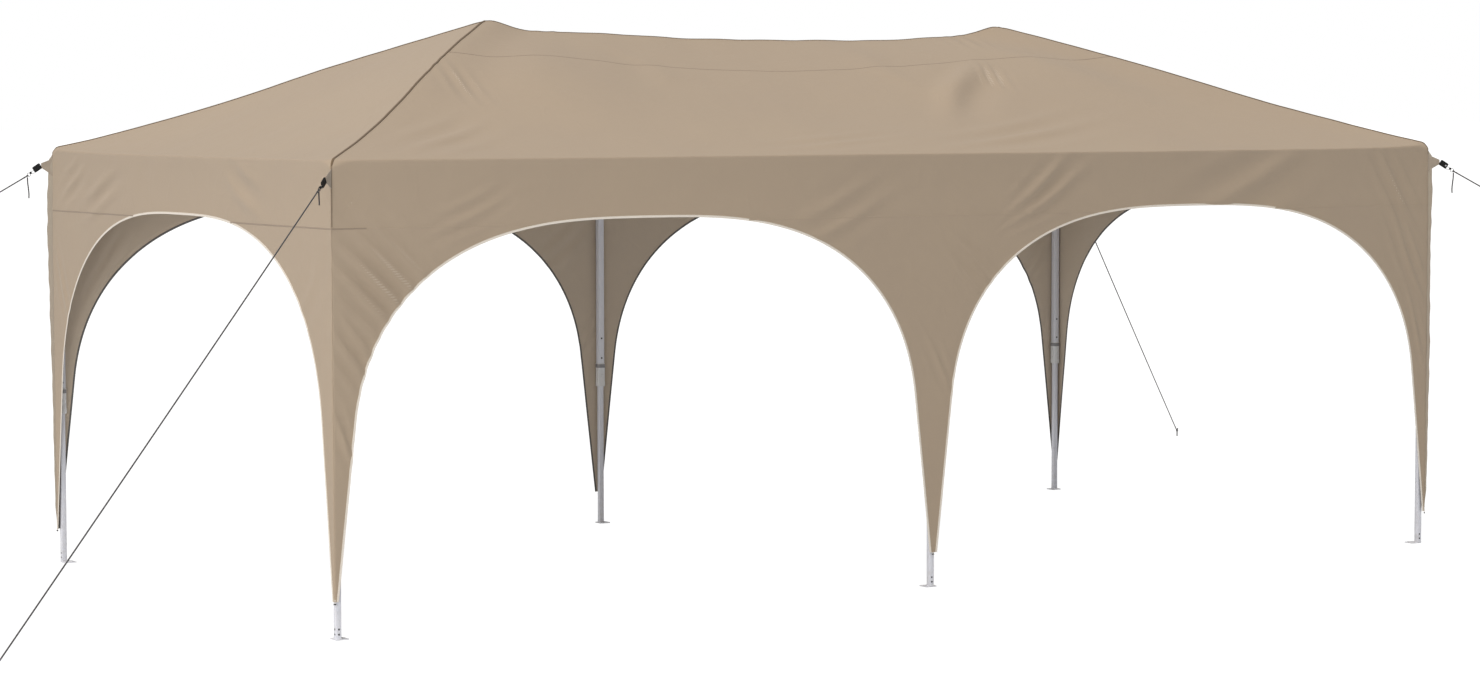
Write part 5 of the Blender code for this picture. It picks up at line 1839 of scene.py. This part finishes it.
@dataclass
class RoofFrame:
    """The scissor trusses round the eaves and the frames that carry the two peaks."""

    finishes: Finishes
    bar_height: float = 0.025
    bar_thickness: float = 0.010
    layer: float = 0.0055
    hubs: tuple[float, float] = (1.985, 2.150)
    face: float = 0.0108
    pin_half: float = 0.0105
    pin_radius: float = 0.0062

    def bar(self, start: Array, end: Array, overrun: float = 0.0) -> Body:
        """Return a rectangular tube on edge with rounded corners, from start to end.

        Args:
            start: The point where it starts.
            end: The point where it ends.
            overrun: How far it goes on past both.

        Returns:
            Points, faces and corner coordinates, as tube gives them.
        """
        forward = unit(end - start)
        level = unit(np.cross(UP, forward))
        length = float(np.linalg.norm(end - start)) + 2.0 * overrun
        rows = slab(self.bar_thickness / 2.0, self.bar_height / 2.0, 0.0022, 0.0, length, (0.0006, 0.0006, 0.0004))
        return stacked_body(start - forward * overrun, level, np.cross(forward, level), rows)

    def make_truss(self, name: str, middle: Array, along: Array, span: float) -> None:
        """Make one truss: two crossed pairs of bars in a row, pinned where they meet.

        Args:
            name: The truss's name.
            middle: The ground point under its middle.
            along: Its direction.
            span: The distance between its legs.
        """
        across, far = np.cross(UP, along), span / 2.0 - 0.045

        def at(reach: float, layer: float, z: float) -> Array:
            """Return the point at a reach along the truss, in a layer and at a height."""
            return middle + along * reach + across * layer + UP * z

        bars = [
            self.bar(at(side * far, way * side * self.layer, outer), at(0.0, way * side * self.layer, inner), 0.010)
            for side in (-1.0, 1.0)
            for way, outer, inner in ((1.0, UPPER_PIVOT, LOWER_PIVOT), (-1.0, LOWER_PIVOT, UPPER_PIVOT))
        ]
        crossing = (UPPER_PIVOT + LOWER_PIVOT) / 2.0
        places = [(-far / 2.0, crossing), (far / 2.0, crossing), (0.0, LOWER_PIVOT), (0.0, UPPER_PIVOT)]
        pins = [pin(at(reach, 0.0, z), across, self.pin_half, self.pin_radius) for reach, z in places]
        parts = [(self.finishes.steel, bars), (self.finishes.wire, pins)]
        make_piece(f"scissor_bars_{name}", parts, "white_steel", [f"truss_{name}"], sharp=30.0)

    def make_peak(self, name: str, x: float) -> None:
        """Make one peak frame: four crossed pairs of arms, two hubs, the pole and its domed cap.

        Args:
            name: The peak's name.
            x: Its place along X.
        """
        middle, turn = np.array([x, 0.0, 0.0]), -np.sign(x)
        steel, plastic, pins = [], [], []
        block = slab(0.0120, 0.0150, 0.0046, 0.0, 0.020, (0.0008, 0.0008, 0.0006))
        ways = ((EAST, 1.475), (-EAST, 1.5), (NORTH, LEG_Y), (-NORTH, LEG_Y))
        for way, reach in ((direction * turn, reach) for direction, reach in ways):
            side, far = np.cross(UP, way), reach - self.face - 0.010
            arms = ((self.layer, UPPER_PIVOT, self.hubs[0]), (-self.layer, LOWER_PIVOT, self.hubs[1]))
            for layer, low, high in arms:
                start = middle + way * far + side * layer + UP * low
                steel.append(self.bar(start, middle + way * 0.015 + side * layer + UP * high))
                plastic.append(stacked_body(middle + way * (far - 0.010) + UP * low, side, UP, block))
                pins.append(pin(middle + way * (far - 0.004) + UP * low, side, 0.0120))
            crossing = middle + way * (far + 0.015) / 2.0 + UP * (UPPER_PIVOT + self.hubs[0]) / 2.0
            pins.append(pin(crossing, side, self.pin_half, self.pin_radius))
        steel.append(turned_body(middle, UP, [(1.9495, 0.0100), (1.950, 0.0125), (2.545, 0.0125)]))
        rim = [(-0.017, 0.0125), (-0.017, 0.027), (-0.0155, 0.030), (-0.009, 0.030), (-0.0075, 0.0265)]
        hub = rim + [(-height, radius) for height, radius in rim[::-1]]
        for z in self.hubs:
            plastic.append(turned_body(middle, UP, [(z + height, radius) for height, radius in hub], 32))
        dome = [(2.534, 0.0140), (2.536, 0.030), (2.544, 0.0335), (2.551, 0.0325), (2.5585, 0.024)]
        plastic.append(turned_body(middle, UP, dome + [(2.5632, 0.013), (2.565, 0.003)], 32))
        parts = [(self.finishes.steel, steel), (self.finishes.plastic, plastic), (self.finishes.wire, pins)]
        make_piece(f"peak_frame_{name}", parts, "white_steel", [f"peak_truss_{name}"], sharp=30.0)

    def make(self) -> None:
        """Make the seven trusses and the two peak frames."""
        for wall, y in (("front", -LEG_Y), ("back", LEG_Y)):
            for side, x in (("left", -LEG_X / 2.0), ("right", LEG_X / 2.0)):
                self.make_truss(f"{wall}_{side}", np.array([x, y, 0.0]), EAST, LEG_X)
        for name, x in (("left_end", -LEG_X), ("middle", 0.0), ("right_end", LEG_X)):
            self.make_truss(name, np.array([x, 0.0, 0.0]), NORTH, 2.0 * LEG_Y)
        self.make_peak("left", -1.475)
        self.make_peak("right", 1.475)


# Camera, light and floor


@dataclass
class CameraRig:
    """The camera, as fitted to the feet, eaves and peaks in the photograph."""

    place: Point = (-9.4324, -14.7401, 2.2127)
    yaw: float = 32.3992
    pitch: float = 3.8359
    roll: float = -0.0769
    focal_pixels: float = 3603.66
    image_width: float = 1480.0
    sensor: float = 36.0

    def make(self) -> None:
        """Make the camera and point it."""
        yaw, pitch, roll = (radians(a) for a in (self.yaw, self.pitch, self.roll))
        forward = Vector((sin(yaw) * cos(pitch), cos(yaw) * cos(pitch), -sin(pitch)))
        level = Vector((cos(yaw), -sin(yaw), 0.0))
        above = level.cross(forward)
        right, up = level * cos(roll) + above * sin(roll), above * cos(roll) - level * sin(roll)
        data = bpy.data.cameras.new("photo_camera")
        data.sensor_width, data.clip_end = self.sensor, 1000.0
        data.lens = self.focal_pixels / self.image_width * self.sensor
        camera = link_object("photo_camera", data)
        turned = Matrix((right, up, -forward)).transposed().to_4x4()
        turned.translation = Vector(self.place)
        camera.matrix_world = turned
        bpy.context.scene.camera = camera
        log.info("camera: %.2f mm lens, %.1f degrees to the right", data.lens, self.yaw)


@dataclass
class Studio:
    """A white floor, even white light from all round and a soft key light from the upper left."""

    sky: float = 0.60
    sky_seen: float = 1.0
    key: float = 2.5
    key_from: Point = (-0.40, -0.10, 0.91)
    key_softness: float = 24.0
    key_warmth: Colour = (1.0, 0.955, 0.915)
    side_power: float = 330.0
    side_place: Point = (-9.5, -8.0, 1.2)
    side_aim: Point = (-1.5, -1.5, 1.2)
    side_size: float = 3.0
    floor_half: float = 220.0
    floor_white: Colour = (0.76, 0.785, 0.82)
    floor_seen: float = 0.08
    floor_glow: float = 0.96

    def make_floor(self) -> None:
        """Make the floor, whose colour differs for what it lights and for what the camera sees."""
        mesh = bpy.data.meshes.new("studio_floor")
        square = [(x * self.floor_half, y * self.floor_half, 0.0) for x, y in ((-1, -1), (1, -1), (1, 1), (-1, 1))]
        mesh.from_pydata(square, [], [(0, 1, 2, 3)])
        bench = MaterialBench("white_floor")
        seen = bench.add("ShaderNodeLightPath")["Is Camera Ray"]
        mesh.materials.append(bench.close({
            "Base Color": bench.blend(seen, rgba(self.floor_white), rgba((self.floor_seen,) * 3)),
            "Roughness": 1.0,
            "Emission Color": rgba((1.0, 1.0, 1.0)),
            "Emission Strength": bench.math("MULTIPLY", seen, self.floor_glow),
        }))
        floor = link_object("studio_floor", mesh)
        floor.location.z = -0.0005

    def make_light(self, name: str, kind: str, power: float, way: Vector) -> bpy.types.Object:
        """Make a light that shines against the given way.

        Args:
            name: The light's name.
            kind: Its type.
            power: Its strength.
            way: The way to it from what it lights.

        Returns:
            The light's object.
        """
        data = bpy.data.lights.new(name, kind)
        data.energy = power
        lamp = link_object(name, data)
        lamp.rotation_mode = "QUATERNION"
        lamp.rotation_quaternion = way.to_track_quat("Z", "Y")
        return lamp

    def make(self) -> None:
        """Make the floor, the world and the two lights."""
        self.make_floor()
        world = bpy.data.worlds.new("studio_world")
        world.use_nodes = True
        background = world.node_tree.nodes["Background"]
        background.inputs[0].default_value = rgba((1.0, 1.0, 1.0))
        bench = NodeBench(world.node_tree)
        seen = bench.add("ShaderNodeLightPath")["Is Camera Ray"]
        world.node_tree.links.new(bench.scale(seen, 0.0, 1.0, self.sky, self.sky_seen), background.inputs[1])
        bpy.context.scene.world = world
        key = self.make_light("key_light", "SUN", self.key, Vector(self.key_from)).data
        key.angle, key.color = radians(self.key_softness), self.key_warmth
        way = Vector(self.side_place) - Vector(self.side_aim)
        side = self.make_light("side_light", "AREA", self.side_power, way)
        side.data.shape, side.data.size, side.location = "DISK", self.side_size, self.side_place
        bpy.context.scene.view_settings.view_transform = "Standard"
        log.info("studio: sky %.2f, key %.2f", self.sky, self.key)


GUY_LINES = {
    "front_left": ((-5.5, -3.6), 0.055, 0.0),
    "front_right": ((5.6, -3.6), 0.1, 0.007),
    "back_left": ((-5.6, 3.6), 0.1, 0.011),
    "back_right": ((5.6, 3.6), 0.1, 0.007),
}


def main() -> None:
    """Build and dress the tent."""
    logging.basicConfig(level=logging.INFO, format="%(name)s: %(message)s")
    CameraRig().make()
    finishes, shape = Finishes(), CoverShape()
    for corner, (peg, tail, hump) in GUY_LINES.items():
        GuyLine(finishes, corner, peg, tail, hump).make()
    TentLegs(finishes).make()
    RoofFrame(finishes).make()
    Cover(finishes, shape).make()
    Trim(finishes, shape).make()
    Studio().make()


if __name__ == "__main__":
    main()
